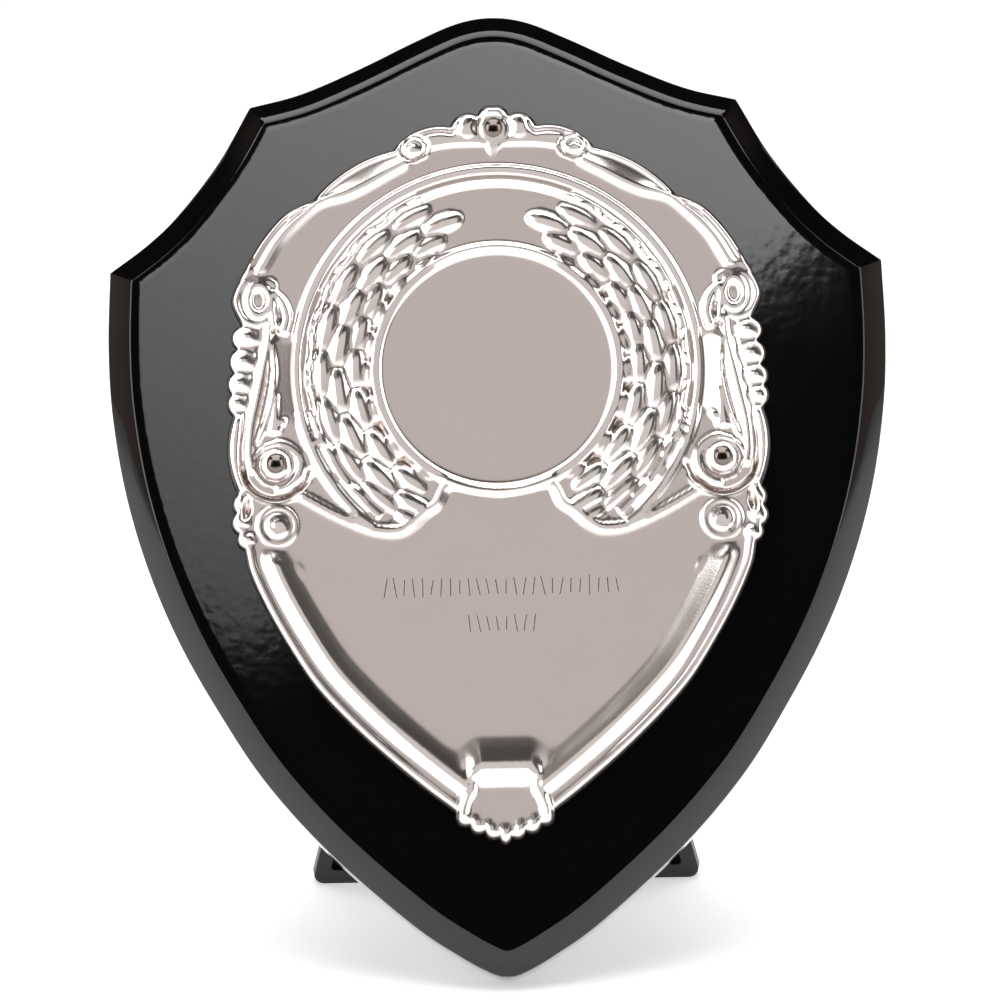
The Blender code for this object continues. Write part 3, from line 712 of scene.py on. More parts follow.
@dataclass
class FrontOutline:
    """The pressed front's scalloped outline, named down its right half."""

    top: Pair = (0.0, 180.1)
    top_lobes: list[tuple[Pair, float]] = field(default_factory=lambda: [
        ((3.2, 178.2), 0.22), ((8.9, 175.9), 0.24), ((20.8, 171.1), 0.15), ((37.5, 160.9), 0.085)])
    shoulder: list[Pair] = field(default_factory=lambda: [
        (37.5, 160.9), (43.1, 158.3), (47.9, 153.1), (51.8, 146.7), (54.2, 141.9), (54.6, 139.0),
        (52.7, 134.7)])
    side_lobes: list[tuple[Pair, float]] = field(default_factory=lambda: [
        ((53.6, 130.0), 0.34), ((54.4, 125.0), 0.27), ((55.0, 120.6), 0.25), ((54.6, 116.1), 0.25),
        ((53.9, 99.8), 0.105), ((54.4, 95.7), 0.22), ((53.9, 91.4), 0.27), ((52.7, 88.2), 0.26)])
    sweep: list[Pair] = field(default_factory=lambda: [
        (52.7, 88.2), (51.7, 83.3), (48.6, 76.2), (44.2, 68.2), (38.7, 59.7), (31.9, 52.1),
        (23.9, 44.5), (16.0, 37.8), (9.9, 33.1)])
    shell_lobes: list[tuple[Pair, float]] = field(default_factory=lambda: [
        ((7.4, 30.5), 0.38), ((4.3, 29.1), 0.3), ((1.3, 28.0), 0.28), ((0.0, 26.6), 0.2)])

    def half(self, arc: int, run: int) -> Points:
        """Trace the right half from the top down to the shell's tip.

        Args:
            arc: Points to each lobe.
            run: Points to the shoulder; the long sweep has three times as many.

        Returns:
            The half outline.
        """
        return np.vstack([
            lobes(self.top, self.top_lobes, arc), spline(self.shoulder, run)[:-1],
            lobes(self.shoulder[-1], self.side_lobes, arc), spline(self.sweep, 3 * run)[:-1],
            lobes(self.sweep[-1], self.shell_lobes, arc), np.array([self.shell_lobes[-1][0]])])


@dataclass(frozen=True)
class LeafRow:
    """One row of the wreath: plump leaves end to end round the disc, named by their bases' angles."""

    radius: float
    drift: float
    wide: float
    rise: float
    span: float
    bases: tuple[float, ...]

    def height(self, r: Points, turn: Points) -> Points:
        """Heights of the row's leaves above the bed.

        Along a leaf t runs from -1 at its tip to 1 at its base and s from -1 to 1 across.  Its back is
        rise times (1 - |t| ** 2.4 - |s| ** 2) ** 0.65, lower by a fifth toward the base, with a shallow
        crease along its outer half.

        Args:
            r: Distance from the disc's centre.
            turn: Angle from the top in degrees.

        Returns:
            Heights, 0 where no leaf lies.
        """
        top = np.zeros_like(r)
        middle = self.radius + self.drift * ease(turn, 55.0, 100.0)
        across = (r - middle) / (self.wide / 2)
        for base in self.bases:
            t = (turn - base + self.span / 2) / (self.span / 2)
            inside = np.clip(1 - np.abs(t) ** 2.4 - across ** 2, 0.0, 1.0)
            crease = 1 - 0.16 * bell(across - 0.55, 0.22) * (np.abs(t) < 0.8)
            top = np.maximum(top, self.rise * (0.9 - 0.1 * t) * inside ** 0.65 * crease)
        return top


@dataclass(frozen=True)
class Spots:
    """Sampled spots, both halves folded onto the right one.

    edge is the distance in from the outline, r the distance from the disc's centre, and turn the angle
    from the top about it in degrees.
    """

    x: Points
    u: Points
    edge: Points
    r: Points
    turn: Points


@dataclass
class Relief:
    """The pressed front's relief: heights in millimetres above its back, the same on both halves."""

    disc_u: float = 124.8
    disc: float = 1.75
    level: float = 1.7
    sink: float = 0.95
    lowest: float = 0.6
    highest: float = 3.4
    ring_in: float = 24.3
    bed_in: float = 26.4
    bed_out: float = 37.8
    hoop_end_deg: float = 141.0
    plain_section: tuple[Pair, ...] = (
        (0.0, 0.75), (0.35, 1.7), (0.9, 2.25), (1.5, 2.2), (2.3, 1.8), (3.0, 1.7))
    rim_section: tuple[Pair, ...] = (
        (0.0, 0.75), (0.4, 1.85), (1.0, 2.4), (1.7, 2.25), (2.3, 1.75), (3.0, 1.8), (4.2, 2.5),
        (5.0, 3.0), (5.6, 3.2), (6.0, 3.15), (6.5, 2.95), (9.7, 1.75), (10.7, 1.7))
    cap_section: tuple[Pair, ...] = ((0.0, 0.75), (0.3, 1.8), (0.8, 3.4))
    rows: tuple[LeafRow, ...] = (
        LeafRow(36.1, 0.0, 4.7, 1.7, 18.0, (37.5, 53.3, 69.0, 84.3, 99.7, 115.4, 131.2, 146.0, 160.0)),
        LeafRow(32.4, 0.8, 5.5, 1.95, 19.6, (29.5, 46.0, 62.0, 76.2, 90.2, 106.5, 124.0, 142.0, 158.0)),
        LeafRow(29.4, 0.0, 5.0, 1.75, 19.4, (37.5, 54.0, 70.5, 84.2, 98.0, 115.0, 133.0, 151.5)),
        LeafRow(26.6, 0.0, 3.2, 1.4, 13.0, (40.0, 54.5, 70.5, 84.5, 98.0, 114.0, 133.0, 151.0)))
    rails: tuple[Triple, ...] = ((38.65, 0.5, 1.15), (39.65, 0.45, 1.1))
    lip: tuple[Pair, ...] = (
        (0.0, 99.6), (8.0, 101.0), (11.2, 100.3), (13.0, 97.0), (15.6, 95.3), (18.9, 92.5), (21.9, 91.6),
        (26.9, 92.3), (33.9, 95.3), (41.2, 99.4))
    side_pin: Pair = (45.9, 105.6)
    top_pin: Pair = (0.0, 175.0)
    low_scroll: Pair = (45.7, 92.9)
    curl: Pair = (49.0, 139.6)
    stem: tuple[Pair, ...] = (
        (47.0, 142.6), (46.9, 137.0), (47.1, 131.5), (48.3, 125.5), (49.6, 119.5), (50.9, 113.5),
        (51.3, 108.0), (50.8, 105.0))
    valley: tuple[Pair, ...] = (
        (48.9, 131.5), (50.0, 127.0), (51.1, 121.5), (52.1, 116.0), (52.8, 110.5), (52.9, 106.0),
        (52.1, 101.5))
    blade: tuple[Pair, ...] = (
        (46.3, 130.6), (45.9, 126.0), (46.1, 122.0), (46.9, 117.8), (48.2, 113.5), (49.4, 110.4))
    thorn: tuple[Pair, ...] = ((45.5, 120.0), (46.0, 116.0), (46.2, 112.0))
    petal: tuple[Pair, ...] = ((45.9, 141.8), (44.3, 139.6), (43.3, 136.4), (43.9, 133.6))
    petal_in: tuple[Pair, ...] = ((46.3, 141.0), (46.2, 138.0), (45.9, 134.6))
    ribbon: tuple[Pair, ...] = (
        (17.2, 169.2), (22.0, 166.7), (27.0, 163.9), (31.0, 162.2), (36.0, 160.9), (40.2, 157.6),
        (45.0, 152.6), (48.6, 146.6))
    ribbon_eye: Pair = (16.5, 171.3)
    shell_side: tuple[Pair, ...] = ((5.2, 39.6), (6.8, 37.6), (8.2, 35.0), (9.0, 32.2))
    blob: Pair = (44.5, 114.5)
    beads: tuple[Triple, ...] = (
        (51.5, 132.4, 2.5), (52.4, 127.4, 2.6), (53.1, 122.8, 2.5), (53.7, 118.6, 2.3), (52.9, 97.8, 2.2),
        (53.0, 93.8, 2.1), (51.8, 90.2, 2.0))

    def edges(self, spots: Spots) -> Points:
        """Heights of the field and of the mouldings that follow the outline."""
        low = (1 - ease(spots.u, 84.5, 89.0)) * ease(spots.r, 37.0, 44.0)
        plain = trace(spots.edge, *self.plain_section)
        return plain * (1 - low) + trace(spots.edge, *self.rim_section) * low

    def wreath(self, spots: Spots, high: Points) -> Points:
        """Work in the lip, the sunk bed with its leaves, the rails, the hoop, and the disc in its ring.

        The lip falls outward as a gable and keeps level toward the leaves.  The bed is sunk only where
        leaves lie, and rises again to the lip.  The rails waver with the leaves' spacing.

        Args:
            spots: The sampled spots.
            high: Heights so far.

        Returns:
            Heights with the wreath.
        """
        x, u, r, turn = spots.x, spots.u, spots.r, spots.turn
        lip, part = near(x, u, spline(self.lip, 60))
        below = u < trace(x, *self.lip[2:])
        girth = np.where(below, 1.7 + 0.6 * bell(part - 0.6, 0.4), 1.0)
        ridge = np.where(below, gable(lip, girth), np.clip(2 - 2 * lip / girth, 0.0, 1.0))
        high = np.maximum(high, (self.level + 0.85 * ridge) * (lip < girth))

        bed = ease(r, self.bed_in - 0.5, self.bed_in) * (1 - ease(r, self.bed_out, self.bed_out + 0.4))
        bed = bed * (1 - ease(turn, 143.0, 148.0) * (lip > 0))
        bare = np.maximum(1 - ease(turn, 18.0, 34.0), 1 - ease(lip, 1.2, 2.6))
        high = high * (1 - bed) + (self.sink + (self.level - self.sink) * bare) * bed
        leaf = np.maximum.reduce([row.height(r, turn) for row in self.rows])
        covered = (leaf > 0) & (r > self.ring_in + 0.6) & (r < 39.6) & (lip > 0.5) & ~below
        high = np.where(covered, np.maximum(high, self.sink + leaf), high)

        upper = (turn < self.hoop_end_deg) & (spots.edge > 0.8) & ~below
        wave = 0.22 * np.cos(np.radians((turn - 29.5) * 360.0 / 15.6)) * ease(turn, 20.0, 30.0)
        for (radius, half, rise), share in zip(self.rails, (1.0, 1 / 3)):
            rail = raised(high, r - radius - wave * share, half, self.level - 0.15, rise)
            high = np.where(upper, rail, high)
        hoop = trace(r, (40.2, 0.0), (40.5, 0.65), (41.9, 0.85), (42.3, 0.85), (42.6, 0.4), (42.9, 0.0))
        high = np.where(upper & (hoop > 0), np.maximum(high, self.level + hoop), high)
        high = high - 0.6 * bell(r - 40.15, 0.4) * upper

        cove = trace(r, (0.0, 0.0), (22.8, 0.0), (23.7, 0.08), (24.3, 0.3))
        high = np.where(r < 24.2, self.disc + cove, high)
        clear = 1 - ease(turn, 26.0, 36.0) * (1 - ease(turn, 150.0, 156.0))
        for radius, half, rise in ((24.6, 0.4, 1.0), (25.5, 0.8, 0.85 + 0.5 * clear)):
            band = np.abs(r - radius)
            ring = self.level - 0.1 + rise * roll(band, half)
            high = np.where(band < half, np.maximum(high * (leaf > 0), ring), high)
        return high

    def scroll(self, spots: Spots, high: Points) -> Points:
        """Work the two side scrolls in: a broad band wound once about an eye, and a ball with a swirl.

        The groove between band and eye lies at a radius that grows from 3.2 above to 3.8 mm below.

        Args:
            spots: The sampled spots.
            high: Heights so far.

        Returns:
            Heights with the scrolls.
        """
        dx, du = spots.x - self.side_pin[0], spots.u - self.side_pin[1]
        r = np.hypot(dx, du)
        below = 0.5 - 0.5 * du / np.maximum(r, 0.1)
        groove = 3.2 + 0.6 * below
        outer = 6.5 - 0.9 * ease(du, 1.0, 5.0)
        middle, half = (groove + outer) / 2, (outer - groove) / 2 + 0.25
        band = 1.5 + 1.15 * gable(r - middle, half)
        lead = ~((dx > 0) & (np.abs(du) < 6.0) & (r > 4.6))
        wound = (r < outer + 0.2) & (r > groove) & lead
        high = np.where(wound, np.maximum(band, high * (r > middle)), high)
        ring = 1.35 + 1.3 * roll(r - 2.35, 0.95)
        high = np.where(r <= groove, np.maximum(ring, np.where(r < 2.3, 2.9, 1.35)), high)
        high = high - 1.0 * bell(r - 7.0, 0.6) * (below > 0.55) * (spots.edge > 1.0)
        high = high + 0.45 * bell(r - 8.0, 0.5) * (below > 0.75) * (spots.edge > 1.5)

        dx, du = spots.x - self.low_scroll[0], spots.u - self.low_scroll[1]
        r = np.hypot(dx, du)
        turn = np.degrees(np.arctan2(du, dx)) % 360.0
        reach = 2.75 + 0.5 * ((turn + 60.0) % 360.0) / 360.0
        band = 1.6 + 0.8 * gable(r - 3.75, 1.0)
        ball = 1.25 + 1.55 * roll(r, reach) ** 0.8
        swirl = bell(r - 0.5 - 1.5 * ((turn + 180.0) % 360.0) / 360.0, 0.35)
        low = np.maximum(np.maximum(1.25, band), (ball - 0.4 * swirl) * (r < reach))
        high = np.where(r < 4.6, low, high)
        pocket = np.hypot((spots.x - 51.9 - 0.15 * (97.0 - spots.u)) / 0.95, (spots.u - 96.6) / 2.6)
        return high - 1.0 * roll(pocket, 1.0) * (pocket < 1.0) * (spots.edge > 0.8)

    def side(self, spots: Spots, high: Points) -> Points:
        """Work the side ornament in: scalloped border, stem, blades, the dished pocket and the curl.

        The border's back is the square root of 1 - s squared, s running from -1 at its valley to 1 at
        the outline.

        Args:
            spots: The sampled spots.
            high: Heights so far.

        Returns:
            Heights with the side ornament.
        """
        x, u, edge = spots.x, spots.u, spots.edge
        stem, _ = near(x, u, spline(self.stem, 42))
        blade, _ = near(x, u, spline(self.blade, 24))
        thorn, along = near(x, u, spline(self.thorn, 12))
        line = spline(self.valley, 30)
        valley = x - np.interp(-u, -line[:, 1], line[:, 0])
        border = (valley > 0) & (u > 100.5) & (u < 134.6)
        s = (edge - valley) / np.maximum(edge + valley, 0.2)
        bare = 1 - ease(u, 114.5, 117.0)
        high = np.where(border, 1.45 + (0.25 + 1.1 * bare) * roll(s, 1.02), high)
        left = trace(u, *((b, a) for a, b in self.blade[::-1]))
        fan = (spots.r > 42.4) & (x < left) & (u > 113.0) & (u < 133.0) & (edge > 2.0)
        ramp = 1.15 + 1.15 * np.clip((spots.r - 42.5) / 3.8, 0.0, 1.0)
        shade = ease(u, 113.0, 116.5) * (1 - ease(u, 130.5, 133.0))
        high = np.where(fan, high * (1 - shade) + ramp * shade, high)
        high = np.where(~fan & ~border & (x > left) & (u > 110.0) & (u < 131.0), 1.5, high)
        high = raised(high, blade, 0.65, 1.5, 1.0)
        high = np.where(along < 1.0, raised(high, thorn, 0.35 + 1.5 * along, 1.6, 1.0), high)
        high = raised(high, stem, 1.1 + 0.6 * ease(134.0 - u, 0.0, 12.0), 1.7, 0.95, gable)
        high = high - 0.3 * bell(valley, 0.6) * (u > 101.0) * (u < 131.0)
        high = raised(high, np.hypot(x - self.blob[0], u - self.blob[1]), 1.1, 1.7, 0.8)
        for cx, cu, size in self.beads:
            high = raised(high, np.hypot((x - cx) / 1.2, u - cu), size, 1.5, 1.35, bud)

        dx, du = x - self.curl[0], u - self.curl[1]
        far = np.hypot(dx, du)
        loop = np.hypot(dx / 2.0, (du - 0.3) / 2.95)
        curl = (far < 5.9) & (u > 134.4 - 0.5 * dx) & (x > 46.0 - ease(u, 140.0, 144.0))
        curled = np.maximum(1.5 + 0.95 * gable(far - 4.75, 1.5), 1.3 + 1.45 * roll(loop - 1.08, 0.5))
        high = np.where(curl, np.where(loop < 0.6, 1.3 + 0.5 * roll(loop, 0.6), curled), high)
        petal, part = near(x, u, spline(self.petal, 18))
        girth = 0.6 + 0.75 * ease(part, 0.0, 0.5)
        high = raised(high, petal, girth, 1.3, 1.45)
        inner, _ = near(x, u, spline(self.petal_in, 12))
        high = np.where((inner < 1.5) & (petal > girth) & (x < 46.4), 1.2, high)
        return raised(high, inner, 0.95, 1.3, 1.5)

    def crown(self, spots: Spots, high: Points) -> Points:
        """Work the top in: the ribbon that falls from crest to shoulder, its eye, and the crest.

        From the ribbon's line the face falls inward to the field over 2.8 mm and outward, by
        1.1 t ** 1.2, to a groove that follows the rounded outline.

        Args:
            spots: The sampled spots.
            high: Heights so far.

        Returns:
            Heights with the top ornament.
        """
        x, u, edge = spots.x, spots.u, spots.edge
        line = spline(self.ribbon, 48)
        rib, _ = near(x, u, line)
        span = (x > 16.0) & (u > 141.5)
        above = span & (u > np.interp(x, line[:, 0], line[:, 1]))
        t = np.clip((edge - 1.5) / np.maximum(edge - 1.5 + rib, 0.05), 0.0, 1.0)
        bead = trace(edge, (0.0, 0.75), (0.35, 1.7), (0.8, 2.2), (1.5, 1.5))
        fall = np.where(edge > 1.5, 1.5 + 1.1 * t ** 1.2, bead)
        fade = ease(u, 141.5, 146.0) * ease(x, 16.0, 18.5)
        high = np.where(above, high * (1 - fade) + fall * fade, high)
        swell = self.level + 0.9 * (1 - ease(rib, 0.0, 2.8)) * fade
        high = np.where(span & ~above, np.maximum(high, swell), high)

        slope = (x < 16.5) & (u > 170.5) & (edge > 0.6)
        down = trace(edge, (0.0, 0.75), (0.6, 2.0), (1.1, 2.3), (1.7, 1.9), (2.3, 2.4))
        sag = 0.09 * np.clip(x - 8.0, 0.0, 9.0) ** 1.2
        under = self.level + 0.95 * ease(u - 170.6 + sag, 0.0, 2.6)
        high = np.where(slope, np.minimum(down, under), high)
        eye = np.hypot((x - self.ribbon_eye[0]) / 1.1, u - self.ribbon_eye[1])
        high = np.where(eye < 3.0, np.maximum(1.35, 1.35 + 1.2 * roll(eye - 3.1, 0.5)), high)
        high = np.where(eye < 2.25, 1.35 + 1.5 * roll(eye, 2.25) ** 0.8, high)
        high = high - 0.7 * bell(np.hypot(x - 16.6, u - 170.9) - 1.2, 0.45) * (u > 171.2)

        pad = np.hypot(x - self.top_pin[0], u - self.top_pin[1])
        crest = np.minimum(np.hypot(x - 5.3, u - 175.4) / 3.0, np.hypot(x, u - 178.3) / 2.6)
        knob = np.minimum(trace(edge, *self.cap_section), np.maximum(high, 1.7 + 1.35 * roll(crest, 1.0)))
        high = np.where(crest < 1.0, knob, high)
        high = high - 0.4 * bell(x - 7.1 + 0.25 * (u - 176.0), 0.6) * (u > 174.8) * (edge > 0.5)
        dish = 1.6 + 1.1 * ease(pad, 2.0, 4.4)
        high = np.where((pad < 4.4) & (u < 176.5), np.minimum(high, dish), high)
        tail = ease(u, 168.0, 172.5)
        width = 0.4 + 1.6 * tail
        drop = np.maximum(high, self.level + 0.9 * tail * roll(x, width))
        high = np.where((x < width) & (u < 173.0) & (u > 168.0), drop, high)
        high = np.where(pad < 3.0, np.maximum(1.6, 1.6 + 0.9 * roll(pad - 2.6, 0.5)), high)
        return np.where(pad < 2.3, 2.6, high)

    def shell(self, spots: Spots, high: Points) -> Points:
        """Work the tip in: a bank down to the field, a band with two knobs, and a plain shell.

        The shell's edge is fluted: a flute's round back is a half wave, over the angle from a point
        above, to the power 0.6.  The bank and the rim's inner slope meet in a rounded corner, by the
        logarithm of the sum of their exponentials.

        Args:
            spots: The sampled spots.
            high: Heights so far.

        Returns:
            Heights with the shell.
        """
        x, u, edge = spots.x, spots.u, spots.edge
        inside = (1 - ease(u, 38.6, 39.4)) * (1 - ease(x + 0.55 * (u - 36.0), 8.2, 8.9))
        spread = np.degrees(np.arctan2(x, 44.0 - u))
        flute = np.abs(np.cos(np.radians(spread * 180.0 / 12.0))) ** 0.6
        fan = trace(edge, (0.0, 0.75), (0.4, 1.7), (1.0, 2.4), (1.8, 2.5), (2.6, 1.95), (3.6, 1.75))
        fan = fan - (0.55 - 0.5 * flute) * (1 - ease(edge, 2.2, 3.8)) * ease(edge, 0.0, 0.5)
        high = high * (1 - inside) + fan * inside
        bar, _ = near(x, u, np.array(self.shell_side))
        side = np.minimum(trace(edge, *self.cap_section), np.maximum(high, 1.6 + 1.3 * roll(bar, 0.95)))
        high = np.where(bar < 0.95, side, high)
        band = trace(u, (38.3, self.level), (38.6, 2.0), (42.3, 3.3), (42.8, 3.4))
        high = np.where((x < 6.2) & (u > 38.3) & (u < 42.8), band, high)

        away = np.hypot(np.clip(x - 4.5, 0.0, None), u - 42.6)
        down, along = 4.0 * away / 6.2, 4.0 * (edge - 6.5) / 3.2
        part = -np.log(np.exp(-np.clip(down, 0.0, 9.0)) + np.exp(-np.clip(along, 0.0, 9.0))) / 4.0
        top = 3.4 - 0.4 * ease(x, 5.0, 9.0)
        bank = np.maximum(high, top - (top - self.level) * np.clip(part, 0.0, 1.0))
        tip = (1 - ease(u, 52.0, 60.0)) * (u >= 42.6) * ((edge > 6.3) | (x < 6.5))
        high = high * (1 - tip) + bank * tip
        high = raised(high, np.hypot(x - 6.3, u - 41.2), 1.7, 1.9, 1.4)
        dots = 0.35 * np.abs(np.sin(x * math.pi / 1.3)) * bell(u + 0.1 * x - 38.2, 0.6) * (x < 4.5)
        return high - dots

    def height(self, x: Points, u: Points, outline: Points) -> Points:
        """Work out the whole face.

        Args:
            x: Points' x.
            u: Points' u.
            outline: The right half outline.

        Returns:
            Heights above the back.
        """
        x = np.abs(x)
        edge, _ = near(x, u, outline)
        turn = np.degrees(np.arctan2(x, u - self.disc_u))
        spots = Spots(x, u, edge, np.hypot(x, u - self.disc_u), turn)
        high = self.edges(spots)
        for work in (self.wreath, self.side, self.scroll, self.crown, self.shell):
            high = work(spots, high)
        stop = np.hypot((x - 40.9 - 0.5 * (u - 83.6)) / 1.0, (u - 83.6) / 2.4)
        high = raised(high, stop, 1.0, 1.7, 0.45, gable)
        rounded = trace(edge, (0.0, 0.75), (0.3, 1.6), (0.7, 2.3), (1.2, self.highest))
        return np.clip(np.minimum(high, rounded), self.lowest, self.highest)


@dataclass
class PressedFront:
    """The silver front: one sheet of relief on the board, held by three pins."""

    gap: float = 0.3
    outline: FrontOutline = field(default_factory=FrontOutline)
    relief: Relief = field(default_factory=Relief)
    turn_r: float = 43.0
    far_rings: int = 40
    columns: int = 481
    calm_passes: int = 40
    lip_zone: float = 7.0
    rim_zone: float = 14.0
    tip_zone: float = 9.0
    plain_share: float = 0.2
    blend_passes: int = 1

    def plan(self, edge: Points) -> Points:
        """Lay rings round the disc that end exactly on the outline.

        Column by column the rings step outward: close together over the disc's ring and the rails,
        wider over the leaves, in a few long steps over the plain field, and evenly over the mouldings
        near the edge.  The columns aim at a calmer outline without scallops, made by averaging
        neighbours; only the last rings take the scallops up, by the fourth power of their place.

        Args:
            edge: The outline loop.

        Returns:
            Points by ring and column.
        """
        centre = np.array([0.0, self.relief.disc_u])
        calm = edge
        for _ in range(self.calm_passes):
            calm = 0.5 * calm + 0.25 * (np.roll(calm, 1, axis=0) + np.roll(calm, -1, axis=0))
        reach = np.hypot(*(calm - centre).T)
        way = (calm - centre) / reach[:, None]
        turn = np.degrees(np.arctan2(np.abs(way[:, 0]), way[:, 1]))
        lip = ease(turn, 100.0, 115.0) * (1 - ease(turn, 150.0, 165.0))
        turn_r = self.turn_r + self.lip_zone * lip
        rim_zone = self.rim_zone + self.tip_zone * ease(turn, 162.0, 170.0)
        steps = np.concatenate([np.linspace(24.0, 26.5, 9), np.linspace(26.9, 37.5, 28)])
        outward = np.linspace(0.0, 1.0, 20)[1:, None]
        near_edge = np.vstack([np.broadcast_to(steps[:, None], (len(steps), len(edge))),
                               37.5 + (turn_r - 37.5) * outward])
        inner = np.broadcast_to(np.array([20.5, 21.6, 22.5, 23.2, 23.7])[:, None], (5, len(edge)))
        far = reach - turn_r
        plain = np.maximum(far - rim_zone, self.plain_share * far)
        part = np.arange(1, self.far_rings + 1)[:, None] / self.far_rings
        spread = np.minimum(part / self.plain_share, 1.0)
        rest = np.clip((part - self.plain_share) / (1 - self.plain_share), 0.0, 1.0)
        radii = np.vstack([inner, near_edge, turn_r + plain * spread + (far - plain) * rest])
        plan = centre + way[None] * radii[..., None]
        plan[-self.far_rings:] += (edge - calm)[None] * rest[..., None] ** 4
        return plan

    def soften(self, high: Points) -> Points:
        """Blend heights with their neighbours', as a pressed sheet rounds every crease.

        Each pass gives a point half its own height and a quarter of each neighbour's, round the rings
        and then across them.
        """
        for _ in range(self.blend_passes):
            high = 0.5 * high + 0.25 * (np.roll(high, 1, axis=1) + np.roll(high, -1, axis=1))
            inner = 0.5 * high[1:-1] + 0.25 * (high[:-2] + high[2:])
            high = np.vstack([high[:1], inner, high[-1:]])
        return high

    def build(self) -> bpy.types.Object:
        """Make the front, with its polish and hollow attributes: painted highlight and painted shade.

        Returns:
            The pressed front.
        """
        half = self.outline.half(16, 48)
        even = evenly(half, self.columns)
        edge = whole(even)
        plan = self.plan(edge)
        high = self.soften(self.relief.height(plan[..., 0], plan[..., 1], half))
        centre = np.array([[0.0, self.relief.disc_u]])
        loops = [at(centre, self.gap + self.relief.disc)]
        loops += [at(plan[i], self.gap + high[i]) for i in range(len(plan))]
        loops += [at(edge, self.gap), at(centre, self.gap)]
        piece = solid("pressed_front", *stack(loops), smooth=50.0)
        flat = high.ravel()
        # Raised parts, from 1.95 mm up and fully from 2.6 mm: glossier, and painted lighter as a painted
        # highlight.
        polish_and_highlight = np.concatenate([[0.0], ease(flat, 1.95, 2.6), np.zeros(len(edge) + 1)])
        # Low parts, below 1.5 mm and fully under 1.0 mm: painted darker as painted shade.
        hollow_shade = np.concatenate([[0.0], ease(-flat, -1.5, -1.0), np.zeros(len(edge) + 1)])
        for name, values in (("polish_and_highlight", polish_and_highlight), ("hollow_shade", hollow_shade)):
            layer = piece.data.attributes.new(name, "FLOAT", "POINT")
            layer.data.foreach_set("value", values.astype(np.float32))
        return piece


@dataclass
class Pins:
    """Three dome-headed pins through the front into the board."""

    head: float = 1.95
    rise: float = 1.25
    shank: float = 0.6
    long: float = 9.0
    gap: float = 0.3
    seats: dict[str, tuple[float, float, float]] = field(default_factory=lambda: {
        "pin_right": (45.9, 105.6, 2.9), "pin_left": (-45.9, 105.6, 2.9), "pin_top": (0.0, 175.0, 2.6)})

    def build(self, name: str) -> bpy.types.Object:
        """Turn one pin: a pointed shank under a low dome.

        Args:
            name: The CAD node that it stands for.

        Returns:
            The pin.
        """
        x, u, seat = self.seats[name]
        low = self.gap + seat + 0.3
        arc = np.radians(np.linspace(0.0, 84.0, 9))
        dome = [(self.head * math.cos(a), low + 0.25 + (self.rise - 0.25) * math.sin(a)) for a in arc]
        skirt = [(self.head - 0.1, low), (self.head, low + 0.1)]
        point = [(0.15, -self.long), (self.shank, 1.5 - self.long), (self.shank, low)]
        return turned(name.replace("pin", "domed_pin"), (x, u), point + skirt + dome)


# Strut

